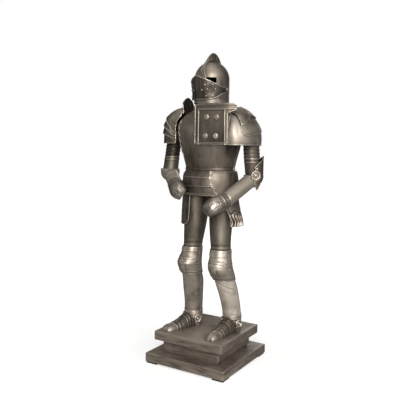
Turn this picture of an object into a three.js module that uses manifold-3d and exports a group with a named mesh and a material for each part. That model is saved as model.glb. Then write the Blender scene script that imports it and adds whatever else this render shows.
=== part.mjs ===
// Statuette of a suit of plate armour on a stepped pedestal.
// Millimetres, +Z up. The figure faces -Y and its left side is +X.
// Built about the centre of the lower slab's underside, then moved so that the origin is the middle of
// the whole object's footprint, at the undersides of its four pads.
import * as THREE from 'three';
import { mergeVertices } from 'three/addons/utils/BufferGeometryUtils.js';
import Module from 'manifold-3d';

const wasm = await Module();
wasm.setup();

// ---------------------------------------------------------------- driving dimensions
const SHEET = 1.2;          // thickness of the bent plates
const GAP = 0.35;           // clearance between neighbouring pieces
const LAP = 2.7;            // how far a lame's free edge stands off the one below it

const LOWER_SLAB = { half: 93, bottom: 0, top: 18.5 };
const NECK = { half: 63.5, boardHalf: 66.5, boardBottom: 24.4 };
const UPPER_SLAB = { half: 80, bottom: 45.3, top: 64 };
const SLAB_CHAMFER = 1;
const PAD = { half: 12.5, height: 2.7, inset: 2 };

const HEAD = { radius: 35.5, neckZ: 532, domeZ: 580, turn: 13, x: 0, y: 0 };
const SLOT = { from: 12, to: 58, bottom: 570.5, top: 582 };
const COMB_THICKNESS = { foot: 7.6, edge: 2.4 };
const VISOR = { fore: 45.5, side: 37.3, squareness: 2.2, keel: 1.4, chinFore: 39.5 };
const VISOR_PIVOT = { z: 558, back: 4.9 };
const PIN = { shank: 1.8, hole: 2.2, head: 4.2, headHeight: 2.6 };

const BOSS = { head: 6, height: 2.6, shank: 2, hole: 2.4 };
const ANKLE_DISC = { radius: 8.4, height: 4.2, up: 17, forward: 20 };
const ARM_RIBS = 6;

const DEG = Math.PI / 180;

// ---------------------------------------------------------------- materials
const plate = (color, roughness = 0.42) =>
  new THREE.MeshStandardMaterial({ color, metalness: 0.9, roughness });
const STEEL = plate(0x8d8478);
const DARK_STEEL = plate(0x6b635a, 0.5);
const BRIGHT_STEEL = plate(0xb3aa9b, 0.35);
const PAINTED_WOOD = new THREE.MeshStandardMaterial({ color: 0x7d7367, metalness: 0.35, roughness: 0.55 });
const PAD_FELT = new THREE.MeshStandardMaterial({ color: 0x1d1b1a, metalness: 0, roughness: 0.9 });

// ---------------------------------------------------------------- geometry helpers
const vec = (x, y, z) => new THREE.Vector3(x, y, z);
const mix = (a, b, t) => a + (b - a) * t;
const smooth = (t) => t * t * (3 - 2 * t);
const clamp01 = (t) => Math.min(1, Math.max(0, t));

/** Value of one named column of a table at a height, on a smooth curve through its rows. */
function column(table, key, name, at) {
  const last = table.length - 1;
  let i = 0;
  while (i < last - 1 && at > table[i + 1][key]) i += 1;
  const row = (n) => table[Math.min(last, Math.max(0, n))];
  const slope = (n) => {
    const low = row(n - 1);
    const high = row(n + 1);
    return (high[name] - low[name]) / (high[key] - low[key]);
  };
  const span = row(i + 1)[key] - row(i)[key];
  const t = clamp01((at - row(i)[key]) / span);
  const h = smooth(t);
  const rise = span * (slope(i) * t * (1 - t) * (1 - t) - slope(i + 1) * t * t * (1 - t));
  return mix(row(i)[name], row(i + 1)[name], h) + rise;
}

/** A whole table row at a height. */
function rowAt(table, key, at) {
  const row = {};
  for (const name of Object.keys(table[0])) row[name] = name === key ? at : column(table, key, name, at);
  return row;
}

function solidGeometry(positions, index) {
  const geometry = new THREE.BufferGeometry();
  geometry.setAttribute('position', new THREE.Float32BufferAttribute(positions, 3));
  let volume = 0;
  const corner = (n) => vec(positions[3 * n], positions[3 * n + 1], positions[3 * n + 2]);
  for (let i = 0; i < index.length; i += 3) {
    volume += corner(index[i]).dot(corner(index[i + 1]).cross(corner(index[i + 2])));
  }
  for (let i = 0; volume < 0 && i < index.length; i += 3) {
    [index[i], index[i + 1]] = [index[i + 1], index[i]];
  }
  geometry.setIndex(index);
  return geometry;
}

/** Closed wall between an outer and an inner grid of points, given as rows of points. */
function wallGeometry(outer, inner, loop) {
  const positions = [];
  const index = [];
  const number = (grid) => grid.map((row) => row.map((p) => positions.push(p.x, p.y, p.z) / 3 - 1));
  const quad = (a, b, c, d) => index.push(a, b, c, a, c, d);
  const out = number(outer);
  const back = number(inner);
  const across = outer[0].length;
  const steps = loop ? across : across - 1;
  for (let j = 0; j < steps; j += 1) {
    const k = (j + 1) % across;
    for (let i = 0; i < out.length - 1; i += 1) quad(out[i][j], out[i][k], out[i + 1][k], out[i + 1][j]);
    for (let i = 0; i < back.length - 1; i += 1) quad(back[i][k], back[i][j], back[i + 1][j], back[i + 1][k]);
    const top = out.length - 1;
    const under = back.length - 1;
    quad(out[0][k], out[0][j], back[0][j], back[0][k]);
    quad(out[top][j], out[top][k], back[under][k], back[under][j]);
  }
  // side edge: zips the two grids' end columns, which may have different numbers of rows
  const edge = (j, flip) => {
    let i = 0;
    let k = 0;
    while (i < out.length - 1 || k < back.length - 1) {
      const outNext = (i + 1) / (out.length - 1);
      const backNext = (k + 1) / (back.length - 1);
      const face = outNext <= backNext
        ? [out[i][j], out[i + 1][j], back[k][j]]
        : [out[i][j], back[k + 1][j], back[k][j]];
      if (outNext <= backNext) i += 1;
      else k += 1;
      index.push(...(flip ? face.reverse() : face));
    }
  };
  if (!loop) {
    edge(0, false);
    edge(across - 1, true);
  }
  return solidGeometry(positions, index);
}

/**
 * Thin shell on a surface. at(u, v) gives a point for u across and v along, both 0 to 1; hand is -1
 * where the surface is mirrored. lift(u, v) moves the shell outwards and wall is its thickness.
 */
function shell({
  across, along, at, loop = false, wall = SHEET, lift = () => 0, hand = 1, innerAlong = along,
}) {
  const STEP = 1e-3;
  const place = (u, v, depth) => {
    const lowU = loop ? u - STEP : Math.max(0, u - STEP);
    const highU = loop ? u + STEP : Math.min(1, u + STEP);
    const du = at(highU, v).sub(at(lowU, v));
    const dv = at(u, Math.min(1, v + STEP)).sub(at(u, Math.max(0, v - STEP)));
    const normal = du.cross(dv).normalize();
    return at(u, v).addScaledVector(normal, hand * (lift(u, v) - depth));
  };
  const grid = (rows, depth) => {
    const points = [];
    for (let i = 0; i <= rows; i += 1) {
      const row = [];
      for (let j = 0; j < across + (loop ? 0 : 1); j += 1) row.push(place(j / across, i / rows, depth));
      points.push(row);
    }
    return points;
  };
  return wallGeometry(grid(along, 0), grid(innerAlong, wall), loop);
}

/** Closed solid through rings of points, with flat ends. */
function loft(rings) {
  const positions = [];
  const index = [];
  const ids = rings.map((ring) => ring.map((p) => positions.push(p.x, p.y, p.z) / 3 - 1));
  const count = rings[0].length;
  for (let i = 0; i < rings.length - 1; i += 1) {
    for (let j = 0; j < count; j += 1) {
      const k = (j + 1) % count;
      index.push(ids[i][j], ids[i][k], ids[i + 1][k], ids[i][j], ids[i + 1][k], ids[i + 1][j]);
    }
  }
  for (let j = 1; j < count - 1; j += 1) {
    const end = ids[ids.length - 1];
    index.push(ids[0][0], ids[0][j + 1], ids[0][j], end[0], end[j], end[j + 1]);
  }
  return solidGeometry(positions, index);
}

/** Square block through levels of half-width and height. */
function squareBlock(levels, x = 0, y = 0) {
  return loft(levels.map(({ half, z }) => [[-1, -1], [1, -1], [1, 1], [-1, 1]]
    .map(([sx, sy]) => vec(x + sx * half, y + sy * half, z))));
}

/** Turned solid about +Z from a profile of [radius, height] that starts and ends on the axis. */
function turned(profile, segments = 16) {
  const points = profile.map(([r, h]) => new THREE.Vector2(r, h));
  return new THREE.LatheGeometry(points, segments).rotateX(Math.PI / 2);
}

function manifold(geometry) {
  const clean = geometry.clone();
  clean.deleteAttribute('normal');
  clean.deleteAttribute('uv');
  const merged = mergeVertices(clean, 1e-4);
  const vertProperties = new Float32Array(merged.attributes.position.array);
  const triVerts = new Uint32Array(merged.index.array);
  return new wasm.Manifold(new wasm.Mesh({ numProp: 3, vertProperties, triVerts }));
}

function fromManifold(solid) {
  const mesh = solid.getMesh();
  const geometry = new THREE.BufferGeometry();
  geometry.setAttribute('position', new THREE.BufferAttribute(new Float32Array(mesh.vertProperties), 3));
  geometry.setIndex(new THREE.BufferAttribute(new Uint32Array(mesh.triVerts), 1));
  return geometry;
}

const cut = (geometry, ...tools) =>
  fromManifold(tools.reduce((solid, tool) => solid.subtract(manifold(tool)), manifold(geometry)));
const join = (geometry, ...others) =>
  fromManifold(others.reduce((solid, other) => solid.add(manifold(other)), manifold(geometry)));

/** Point of an oval section: angle 0 faces the front, 90 degrees the wearer's left. */
function ovalPoint(section, angle) {
  const depth = Math.cos(angle) > 0 ? section.fore : section.aft;
  return vec(section.x + section.side * Math.sin(angle), section.y - depth * Math.cos(angle), section.z);
}

/** Closed tube standing on a table of oval sections. */
function standingTube(table, { from, to, across = 14, along = 3, ...rest }) {
  const at = (u, v) => ovalPoint(rowAt(table, 'z', mix(from, to, v)), u * 2 * Math.PI);
  return shell({ across, along, at, loop: true, ...rest });
}

/** Part of a standing tube between two angles in degrees, which may depend on the height. */
function standingPlate(table, { from, to, left, right, across = 12, along = 6, ...rest }) {
  const at = (u, v) => {
    const z = mix(from, to, v);
    return ovalPoint(rowAt(table, 'z', z), mix(left(z), right(z), u) * DEG);
  };
  return shell({ across, along, at, ...rest });
}

/** Frame with +Z from one point to another and its front side towards a given direction. */
function frameAlong(start, end, front) {
  const along = end.clone().sub(start).normalize();
  const side = along.clone().cross(front).normalize();
  const fore = side.clone().cross(along).normalize();
  return new THREE.Matrix4().makeBasis(side, fore.clone().negate(), along).setPosition(start);
}

// ---------------------------------------------------------------- scene graph
const statuette = new THREE.Group();

function add(name, geometry, material = STEEL, parent = statuette) {
  const mesh = new THREE.Mesh(geometry, material);
  mesh.name = name;
  parent.add(mesh);
  return mesh;
}

// ---------------------------------------------------------------- pedestal
function buildPedestal() {
  const slab = ({ half, bottom, top }) => squareBlock([
    { half: half - SLAB_CHAMFER, z: bottom },
    { half, z: bottom + SLAB_CHAMFER },
    { half, z: top - SLAB_CHAMFER },
    { half: half - SLAB_CHAMFER, z: top },
  ]);
  add('base_lower_slab', slab(LOWER_SLAB), PAINTED_WOOD);
  add('base_upper_slab', slab(UPPER_SLAB), PAINTED_WOOD);
  const neckTop = UPPER_SLAB.bottom - GAP;
  add('base_neck', squareBlock([
    { half: NECK.half, z: LOWER_SLAB.top + GAP },
    { half: NECK.half, z: NECK.boardBottom - 0.6 },
    { half: NECK.boardHalf, z: NECK.boardBottom },
    { half: NECK.boardHalf, z: neckTop },
  ]), PAINTED_WOOD);
  const reach = LOWER_SLAB.half - PAD.inset - PAD.half;
  [[-1, -1], [1, -1], [1, 1], [-1, 1]].forEach(([sx, sy], n) => {
    const levels = [{ half: PAD.half, z: -GAP - PAD.height }, { half: PAD.half, z: -GAP }];
    add(`base_pad_${n + 1}`, squareBlock(levels, sx * reach, sy * reach), PAD_FELT);
  });
}

// ---------------------------------------------------------------- legs
const RIGHT_LEG = {
  side: 'right',
  sign: -1,
  thigh: [
    { z: 238, x: -34.8, y: -8, side: 19.2, fore: 19.5, aft: 19.5 },
    { z: 260, x: -33, y: -7, side: 21, fore: 21.5, aft: 22 },
    { z: 290, x: -31, y: -5, side: 23.4, fore: 24.5, aft: 25.5 },
    { z: 322, x: -30.4, y: -2.5, side: 25.4, fore: 27.6, aft: 28 },
    { z: 352, x: -30.6, y: -1.4, side: 26.4, fore: 29.4, aft: 29.4 },
  ],
  knee: [
    { z: 181, x: -38.5, y: -5.5, side: 23.6, fore: 23.5, aft: 25 },
    { z: 190, x: -39, y: -7, side: 24.2, fore: 27, aft: 23.5 },
    { z: 203, x: -39.3, y: -9, side: 24.6, fore: 31, aft: 22.5 },
    { z: 213, x: -38, y: -9, side: 23.4, fore: 28, aft: 22 },
    { z: 221, x: -36.6, y: -8.4, side: 22, fore: 24, aft: 22 },
    { z: 237.6, x: -34.8, y: -8, side: 20.8, fore: 21.2, aft: 21.2 },
  ],
  shin: [
    { z: 95.8, x: -41, y: 8.8, side: 19.2, fore: 18.8, aft: 19.6 },
    { z: 115, x: -40.8, y: 8.2, side: 19.4, fore: 19, aft: 20.5 },
    { z: 139, x: -40.4, y: 5.4, side: 20.9, fore: 20.2, aft: 23 },
    { z: 165, x: -39, y: 1, side: 22, fore: 21.2, aft: 24.5 },
    { z: 184, x: -38.5, y: -5.4, side: 21.2, fore: 21.2, aft: 20.8 },
  ],
  foot: { x: -41.5, y: -1, turn: -14, length: 0.87 },
};
const LEFT_LEG = {
  side: 'left',
  sign: 1,
  thigh: [
    { z: 238, x: 34.8, y: -10.5, side: 20.4, fore: 20.5, aft: 20.5 },
    { z: 260, x: 33, y: -9.5, side: 21.4, fore: 22, aft: 22 },
    { z: 290, x: 31, y: -6, side: 23.4, fore: 24.5, aft: 25.5 },
    { z: 322, x: 30.4, y: -2.5, side: 25.4, fore: 27.6, aft: 28 },
    { z: 352, x: 30.6, y: -1.4, side: 26.4, fore: 29.4, aft: 29.4 },
  ],
  knee: [
    { z: 176, x: 40.2, y: -4.5, side: 24, fore: 23.5, aft: 25.6 },
    { z: 186, x: 39.4, y: -8, side: 24.8, fore: 27.5, aft: 24 },
    { z: 200, x: 38, y: -12.5, side: 24.8, fore: 31.5, aft: 22.5 },
    { z: 211, x: 36.6, y: -12.5, side: 23.6, fore: 28.5, aft: 22 },
    { z: 220, x: 35.6, y: -11.6, side: 22.4, fore: 24.5, aft: 22 },
    { z: 237.6, x: 34.8, y: -10.5, side: 22, fore: 22.2, aft: 22.2 },
  ],
  shin: [
    { z: 95.8, x: 46.6, y: 22, side: 19.4, fore: 19, aft: 20 },
    { z: 115, x: 45.4, y: 18, side: 19.6, fore: 19.2, aft: 21 },
    { z: 139, x: 43.4, y: 11.6, side: 20.6, fore: 20.2, aft: 23 },
    { z: 160, x: 41.4, y: 4.2, side: 21.6, fore: 21.2, aft: 24 },
    { z: 179, x: 40, y: -4.6, side: 21.7, fore: 21.4, aft: 21.2 },
  ],
  foot: { x: 47, y: 14, turn: -2, length: 0.97 },
};
// foot profile: distance forward of the ankle, half-width and height of the vault over it
const FOOT = [
  { forward: -27, half: 9, height: 14 },
  { forward: -18, half: 14.5, height: 20 },
  { forward: 0, half: 16.6, height: 26 },
  { forward: 14, half: 16.8, height: 26.5 },
  { forward: 26, half: 16.6, height: 22 },
  { forward: 40, half: 16.2, height: 16.5 },
  { forward: 58, half: 15, height: 12.6 },
];
const TOE = [
  { forward: 58, half: 15, height: 12.6 },
  { forward: 66, half: 15.4, height: 12.4 },
  { forward: 74, half: 14.6, height: 11.4 },
  { forward: 80, half: 12.4, height: 9 },
  { forward: 84.4, half: 8.6, height: 5.4 },
];
const ANKLE_CUP = { behind: 9, side: 19, fore: 18.6, aft: 19.4, height: 31 };
const VAULT_STEPS = 6;

/** Half-oval ring across the foot, closed along the ground, inset by a wall and dropped below it. */
function vaultRing({ forward, half, height }, inset, drop) {
  const ring = [];
  for (let i = 0; i <= VAULT_STEPS; i += 1) {
    const angle = mix(-90, 90, i / VAULT_STEPS) * DEG;
    const x = (half - inset) * Math.sign(angle) * Math.abs(Math.sin(angle)) ** 0.8;
    ring.push(vec(x, -forward, (height - inset) * Math.cos(angle) ** 0.8));
  }
  if (drop > 0) ring.push(vec(half - inset, -forward, -drop), vec(inset - half, -forward, -drop));
  return ring;
}

function vault(table, inset = 0, drop = 0) {
  return loft(table.map((row) => vaultRing(row, inset, drop)));
}

function ankleCup(inset, bottom, top) {
  const ring = (z) => {
    const section = { ...ANKLE_CUP, x: 0, y: ANKLE_CUP.behind, z };
    section.side -= inset;
    section.fore -= inset;
    section.aft -= inset;
    const points = [];
    for (let i = 0; i < 12; i += 1) points.push(ovalPoint(section, (i / 6) * Math.PI));
    return points;
  };
  return loft([ring(bottom), ring(top)]);
}

function buildLeg(leg) {
  const { side } = leg;
  add(`cuisse_${side}`, standingTube(leg.thigh, { from: 238, to: 352, along: 4, innerAlong: 2 }));
  const kneeBottom = leg.knee[0].z;
  const knee = { from: kneeBottom, to: 237.6, along: 6, across: 14, innerAlong: 4 };
  add(`poleyn_${side}`, standingTube(leg.knee, knee), BRIGHT_STEEL);
  const shinTop = leg.shin[leg.shin.length - 1].z;
  const greave = { from: 95.8, to: shinTop, along: 4, across: 12, innerAlong: 2 };
  add(`greave_${side}`, standingTube(leg.shin, greave));

  const foot = new THREE.Group();
  foot.position.set(leg.foot.x, leg.foot.y, UPPER_SLAB.top + GAP);
  foot.rotation.z = leg.foot.turn * DEG;
  statuette.add(foot);
  const long = (row) => ({ ...row, forward: row.forward * (row.forward > 0 ? leg.foot.length : 1) });
  const vaultRows = FOOT.map(long);
  const outer = join(vault(vaultRows), ankleCup(0, 0, ANKLE_CUP.height));
  const openFront = [...vaultRows, { ...vaultRows[vaultRows.length - 1], forward: 70 }];
  const hollow = join(vault(openFront, SHEET, 2), ankleCup(SHEET, -2, ANKLE_CUP.height + 2));
  add(`sabaton_${side}`, cut(outer, hollow), STEEL, foot);
  const toe = TOE.map(long).map((row) => ({ ...row, forward: row.forward + GAP }));
  const pulledBack = (row, n) => ({ ...row, forward: row.forward - (n === 0 ? 4 : SHEET) });
  const toeHollow = toe.slice(0, -1).map(pulledBack);
  add(`toe_cap_${side}`, cut(vault(toe), vault(toeHollow, SHEET, 2)), BRIGHT_STEEL, foot);
  const { radius, height, up, forward } = ANKLE_DISC;
  const disc = () => turned([[0, 0], [radius, 0], [radius - 0.6, height], [radius - 3, height],
    [radius - 4.4, height * 0.6], [0, height]], 12);
  const reach = ANKLE_CUP.side + 2 * GAP;
  for (const [place, turn] of [['inner', -leg.sign], ['outer', leg.sign]]) {
    const discMesh = add(`ankle_disc_${place}_${side}`, disc(), BRIGHT_STEEL, foot);
    // faces out to its side and a little forwards, square to the ankle lames' round
    const out = vec(turn * Math.cos(forward * DEG), -Math.sin(forward * DEG), 0);
    discMesh.quaternion.setFromUnitVectors(vec(0, 0, 1), out);
    discMesh.position.set(reach * out.x, ANKLE_CUP.behind + reach * out.y, up);
  }
}

// ---------------------------------------------------------------- torso
const TORSO = [
  { z: 399.6, x: 0, y: 0, side: 55.8, fore: 42.4, aft: 37.4 },
  { z: 404, x: 0, y: 0, side: 54.4, fore: 41, aft: 36 },
  { z: 420, x: 0, y: 0, side: 57.5, fore: 46.5, aft: 39.5 },
  { z: 447, x: 0, y: 0, side: 65, fore: 54, aft: 44.5 },
  { z: 470, x: 0, y: 0, side: 69.5, fore: 57, aft: 47 },
  { z: 489, x: 0, y: 0, side: 70, fore: 54, aft: 47 },
  { z: 505, x: 0, y: 0, side: 60, fore: 45, aft: 42 },
  { z: 514, x: 0, y: 0, side: 46, fore: 37.5, aft: 37.5 },
];
const SKIRT = [
  { z: 349, x: 0, y: 0, side: 61.5, fore: 47.5, aft: 43.5 },
  { z: 362, x: 0, y: 0, side: 61, fore: 49.5, aft: 44 },
  { z: 380, x: 0, y: 0, side: 59.5, fore: 49, aft: 42.6 },
  { z: 392, x: 0, y: 0, side: 56.8, fore: 44.4, aft: 39 },
  { z: 399, x: 0, y: 0, side: 53.6, fore: 40, aft: 35 },
  { z: 404, x: 0, y: 0, side: 52.4, fore: 38.8, aft: 33.8 },
];
const TASSET_RIGHT = [
  { z: 287, x: 0, y: 0, side: 62, fore: 48, aft: 44 },
  { z: 320, x: 0, y: 0, side: 61, fore: 47, aft: 43.5 },
  { z: 345, x: 0, y: 0, side: 59.6, fore: 45.2, aft: 41.6 },
  { z: 355, x: 0, y: 0, side: 58.8, fore: 44.8, aft: 41 },
];
const TASSET_LEFT = [
  { z: 288, x: 3, y: 2, side: 69, fore: 53, aft: 48 },
  { z: 312, x: 2, y: 1, side: 67, fore: 52, aft: 47 },
  { z: 336, x: 0, y: 0, side: 64, fore: 50.5, aft: 46 },
  { z: 362, x: 0, y: 0, side: 63, fore: 51.6, aft: 46 },
  { z: 380, x: 0, y: 0, side: 61.5, fore: 51.6, aft: 45 },
  { z: 392, x: 0, y: 0, side: 59.6, fore: 48.6, aft: 42.6 },
  { z: 398, x: 0, y: 0, side: 58, fore: 45.6, aft: 40.6 },
];
const COLLAR = [
  { z: 507, x: 0, y: 0, side: 45.2, fore: 36.2, aft: 36.2 },
  { z: 514, x: 0, y: 0, side: 43.4, fore: 35.6, aft: 35.6 },
  { z: 523, x: 0, y: 0, side: 36, fore: 33.8, aft: 33.8 },
  { z: 531, x: 0, y: 0, side: 33.1, fore: 33.1, aft: 33.1 },
  { z: 538, x: 0, y: 0, side: 33.1, fore: 33.1, aft: 33.1 },
];
const ARMHOLE = { bottom: 454, top: 500, widest: 60, seam: 89.7 };

/** Angle in degrees at which the breast and back plates end, narrowing above the armhole's foot. */
function armholeAngle(z) {
  const height = ARMHOLE.top - ARMHOLE.bottom;
  return mix(ARMHOLE.seam, ARMHOLE.widest, smooth(clamp01((z - ARMHOLE.bottom) / height)));
}

// square plate on the left breast: its x runs from the chest's centre line towards the left shoulder
const REINFORCE = {
  x0: -1, x1: 70, bottom: 450.6, top: 527, y: -60.3, wall: 1.5, corner: 7, flangeX1: 86, flangeFrom: 508,
  bosses: [{ x: 25, z: 502 }, { x: 47, z: 502 }, { x: 23, z: 466 }, { x: 46, z: 466 }],
};

function reinforcePlate() {
  const { x0, x1, bottom, top, y, corner, flangeX1, flangeFrom } = REINFORCE;
  const at = (u, v) => {
    const z = mix(bottom, top, v);
    const right = mix(x1, flangeX1, smooth(clamp01((z - flangeFrom) / 10)));
    const round = corner - Math.sqrt(Math.max(0, corner ** 2 - Math.max(0, z - (top - corner)) ** 2));
    const x = mix(x0 + round, right - round, u);
    const bend = Math.max(0, x - 58);
    return vec(x, y + 0.012 * bend * bend, z);
  };
  const body = shell({ across: 7, along: 6, at, wall: REINFORCE.wall, innerAlong: 3 });
  return cut(body, ...REINFORCE.bosses.map(({ x, z }) => studAlongY(BOSS.hole, 12, x, y - 4, z)));
}

/** Plain round stud whose axis runs from y towards +Y. */
function studAlongY(radius, length, x, y, z) {
  const rod = turned([[0, 0], [radius, 0], [radius, length], [0, length]], 8);
  return rod.rotateX(-Math.PI / 2).translate(x, y, z);
}

function buildTorso() {
  const armhole = { from: TORSO[0].z, to: 514 };
  add('breastplate', standingPlate(TORSO, {
    ...armhole, left: (z) => -armholeAngle(z), right: armholeAngle, across: 12, along: 7, innerAlong: 5,
  }));
  add('backplate', standingPlate(TORSO, {
    ...armhole, left: (z) => 180 - armholeAngle(z), right: (z) => 180 + armholeAngle(z),
    across: 10, along: 6, innerAlong: 4,
  }));
  add('gorget', standingTube(COLLAR, { from: 507, to: 538, along: 3, across: 14, innerAlong: 2 }));
  add('reinforce_plate', reinforcePlate());
  REINFORCE.bosses.forEach(({ x, z }, n) => {
    const nearest = (height) => {
      const chest = rowAt(TORSO, 'z', height);
      return -chest.fore * Math.sqrt(1 - ((x - BOSS.shank) / chest.side) ** 2);
    };
    const surface = Math.min(nearest(z - BOSS.shank), nearest(z + BOSS.shank)) - GAP;
    const face = REINFORCE.y - GAP;
    const depth = surface - GAP - face;
    const head = turned([[0, -BOSS.height], [BOSS.head - 2.2, -BOSS.height * 0.9], [BOSS.head, 0],
      [BOSS.shank, 0], [BOSS.shank, depth], [0, depth]], 12);
    add(`reinforce_boss_${n + 1}`, head.rotateX(-Math.PI / 2).translate(x, face, z), BRIGHT_STEEL);
  });
  add('fauld', standingPlate(SKIRT, {
    from: 349, to: 404, left: () => -89.7, right: () => 89.7, across: 12, along: 5, innerAlong: 3,
  }));
  add('culet', standingPlate(SKIRT, {
    from: 349, to: 404, left: () => 90, right: () => 270, across: 10, along: 5, innerAlong: 3,
  }));
  buildTassets();
}

function buildTassets() {
  const ROUND = 16;                     // radius of the right tasset's rounded foot, along its height
  const rightAt = (u, v) => {
    const z = mix(287, 355, v);
    const inset = ROUND - Math.sqrt(Math.max(0, ROUND ** 2 - Math.max(0, 287 + ROUND - z) ** 2));
    return ovalPoint(rowAt(TASSET_RIGHT, 'z', z), mix(-102 + inset, -22 - inset, u) * DEG);
  };
  add('tasset_right', shell({ across: 6, along: 6, at: rightAt, innerAlong: 4 }));
  const frontEdge = (z) => mix(62, 25, smooth(clamp01((z - 300) / 84)));
  add('tasset_left', standingPlate(TASSET_LEFT, {
    from: 288, to: 398, left: frontEdge, right: () => 118, across: 9, along: 7,
  }));
}

// ---------------------------------------------------------------- head
// comb over the skull: angle above the front horizontal, distance of its edge from the dome's centre
const COMB = [
  { angle: 20, reach: 37 }, { angle: 46, reach: 37.3 }, { angle: 59, reach: 38.8 },
  { angle: 68, reach: 42 }, { angle: 76, reach: 45.8 }, { angle: 84, reach: 50.2 },
  { angle: 92, reach: 53.4 }, { angle: 102, reach: 52.4 }, { angle: 111, reach: 49.4 },
  { angle: 120, reach: 45 }, { angle: 130, reach: 40.8 }, { angle: 146, reach: 37.8 },
  { angle: 166, reach: 37.3 },
];

/** Skull as a turned shell, open at the neck. */
function skullShell() {
  const { radius, neckZ, domeZ } = HEAD;
  const DOME_STEPS = 5;
  const arc = (r) => Array.from({ length: DOME_STEPS + 1 }, (_, n) => {
    const a = (n / DOME_STEPS) * 90 * DEG;
    return [n === DOME_STEPS ? 0 : r * Math.cos(a), domeZ + r * Math.sin(a)];
  });
  const inside = radius - SHEET;
  const profile = [...arc(inside).reverse(), [inside, neckZ], [radius, neckZ], ...arc(radius)];
  return turned(profile, 18);
}

function slotCutter(sign) {
  const ring = (radius) => [SLOT.bottom, SLOT.top].map((z) => Array.from({ length: 5 }, (_, n) => {
    const angle = sign * mix(SLOT.from, SLOT.to, n / 4) * DEG;
    return vec(radius * Math.sin(angle), -radius * Math.cos(angle), z);
  }));
  return wallGeometry(ring(HEAD.radius + 8), ring(HEAD.radius - 8), false);
}

function combGeometry() {
  const CENTRE = HEAD.domeZ;
  const face = (sign) => {
    const rows = [];
    const first = COMB[0].angle;
    const last = COMB[COMB.length - 1].angle;
    const STEPS = 14;
    for (let n = 0; n <= STEPS; n += 1) {
      const angle = mix(first, last, n / STEPS);
      const reach = column(COMB, 'angle', 'reach', angle);
      const foot = HEAD.radius + GAP + 0.25;
      const row = [[foot, COMB_THICKNESS.foot / 2], [Math.max(foot + 1, reach), COMB_THICKNESS.edge / 2]];
      const a = angle * DEG;
      rows.push(row.map(([r, half]) => vec(sign * half, -r * Math.cos(a), CENTRE + r * Math.sin(a))));
    }
    return rows;
  };
  return wallGeometry(face(1), face(-1), false);
}

/** Visor's distance from the head's axis at an angle from the front, at a share of its height. */
function visorRadius(angle, share) {
  const fore = mix(VISOR.chinFore, VISOR.fore, share);
  const n = VISOR.squareness;
  const ahead = Math.abs(Math.cos(angle) / fore) ** n;
  const aside = Math.abs(Math.sin(angle) / VISOR.side) ** n;
  const round = (ahead + aside) ** (-1 / n);
  return round + VISOR.keel * Math.max(0, 1 - Math.abs(angle) / (24 * DEG)) ** 1.5;
}

// visor's upper and lower edges by angle from the front
const VISOR_EDGE = [
  { angle: 0, top: 584, bottom: 538 },
  { angle: 32, top: 575, bottom: 538 },
  { angle: 58, top: 567, bottom: 542.5 },
  { angle: 80, top: 562.5, bottom: 551 },
  { angle: 93, top: 561.5, bottom: 554.5 },
];

function visorGeometry() {
  const SWEEP = 93;
  const at = (u, v) => {
    const angle = mix(-SWEEP, SWEEP, u);
    const top = column(VISOR_EDGE, 'angle', 'top', Math.abs(angle));
    const bottom = column(VISOR_EDGE, 'angle', 'bottom', Math.abs(angle));
    const z = mix(bottom, top, v);
    const r = visorRadius(angle * DEG, clamp01((z - 538) / 46));
    return vec(r * Math.sin(angle * DEG), -r * Math.cos(angle * DEG) + arm(angle), z);
  };
  // behind the temples the visor's ends run straight back to its pins
  const arm = (angle) => Math.max(0, (Math.abs(angle) - 80) / 13) * 7;
  const body = shell({ across: 20, along: 3, at, innerAlong: 2 });
  return cut(body, studAlongX(PIN.hole, -60, 120));
}

/** Round stud along X through the visor's pivot axis. */
function studAlongX(radius, x, length) {
  return turned([[0, 0], [radius, 0], [radius, length], [0, length]], 12)
    .rotateY(Math.PI / 2).translate(x, VISOR_PIVOT.back, VISOR_PIVOT.z);
}

function buildHead() {
  const head = new THREE.Group();
  head.position.set(HEAD.x, HEAD.y, 0);
  head.rotation.z = -HEAD.turn * DEG;
  statuette.add(head);
  add('helmet_skull', cut(skullShell(), slotCutter(1), slotCutter(-1)), STEEL, head);
  add('helmet_comb', combGeometry(), DARK_STEEL, head);
  add('visor', visorGeometry(), STEEL, head);
  for (const [side, sign] of [['left', 1], ['right', -1]]) {
    const inner = HEAD.radius + GAP;
    const seat = VISOR.side + GAP + 0.3;
    const pin = turned([[0, inner], [PIN.shank, inner], [PIN.shank, seat], [PIN.head, seat],
      [PIN.head - 0.8, seat + PIN.headHeight], [0, seat + PIN.headHeight]], 12);
    pin.rotateY((sign * Math.PI) / 2).translate(0, VISOR_PIVOT.back, VISOR_PIVOT.z);
    add(`visor_pin_${side}`, pin, BRIGHT_STEEL, head);
  }
}

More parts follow.
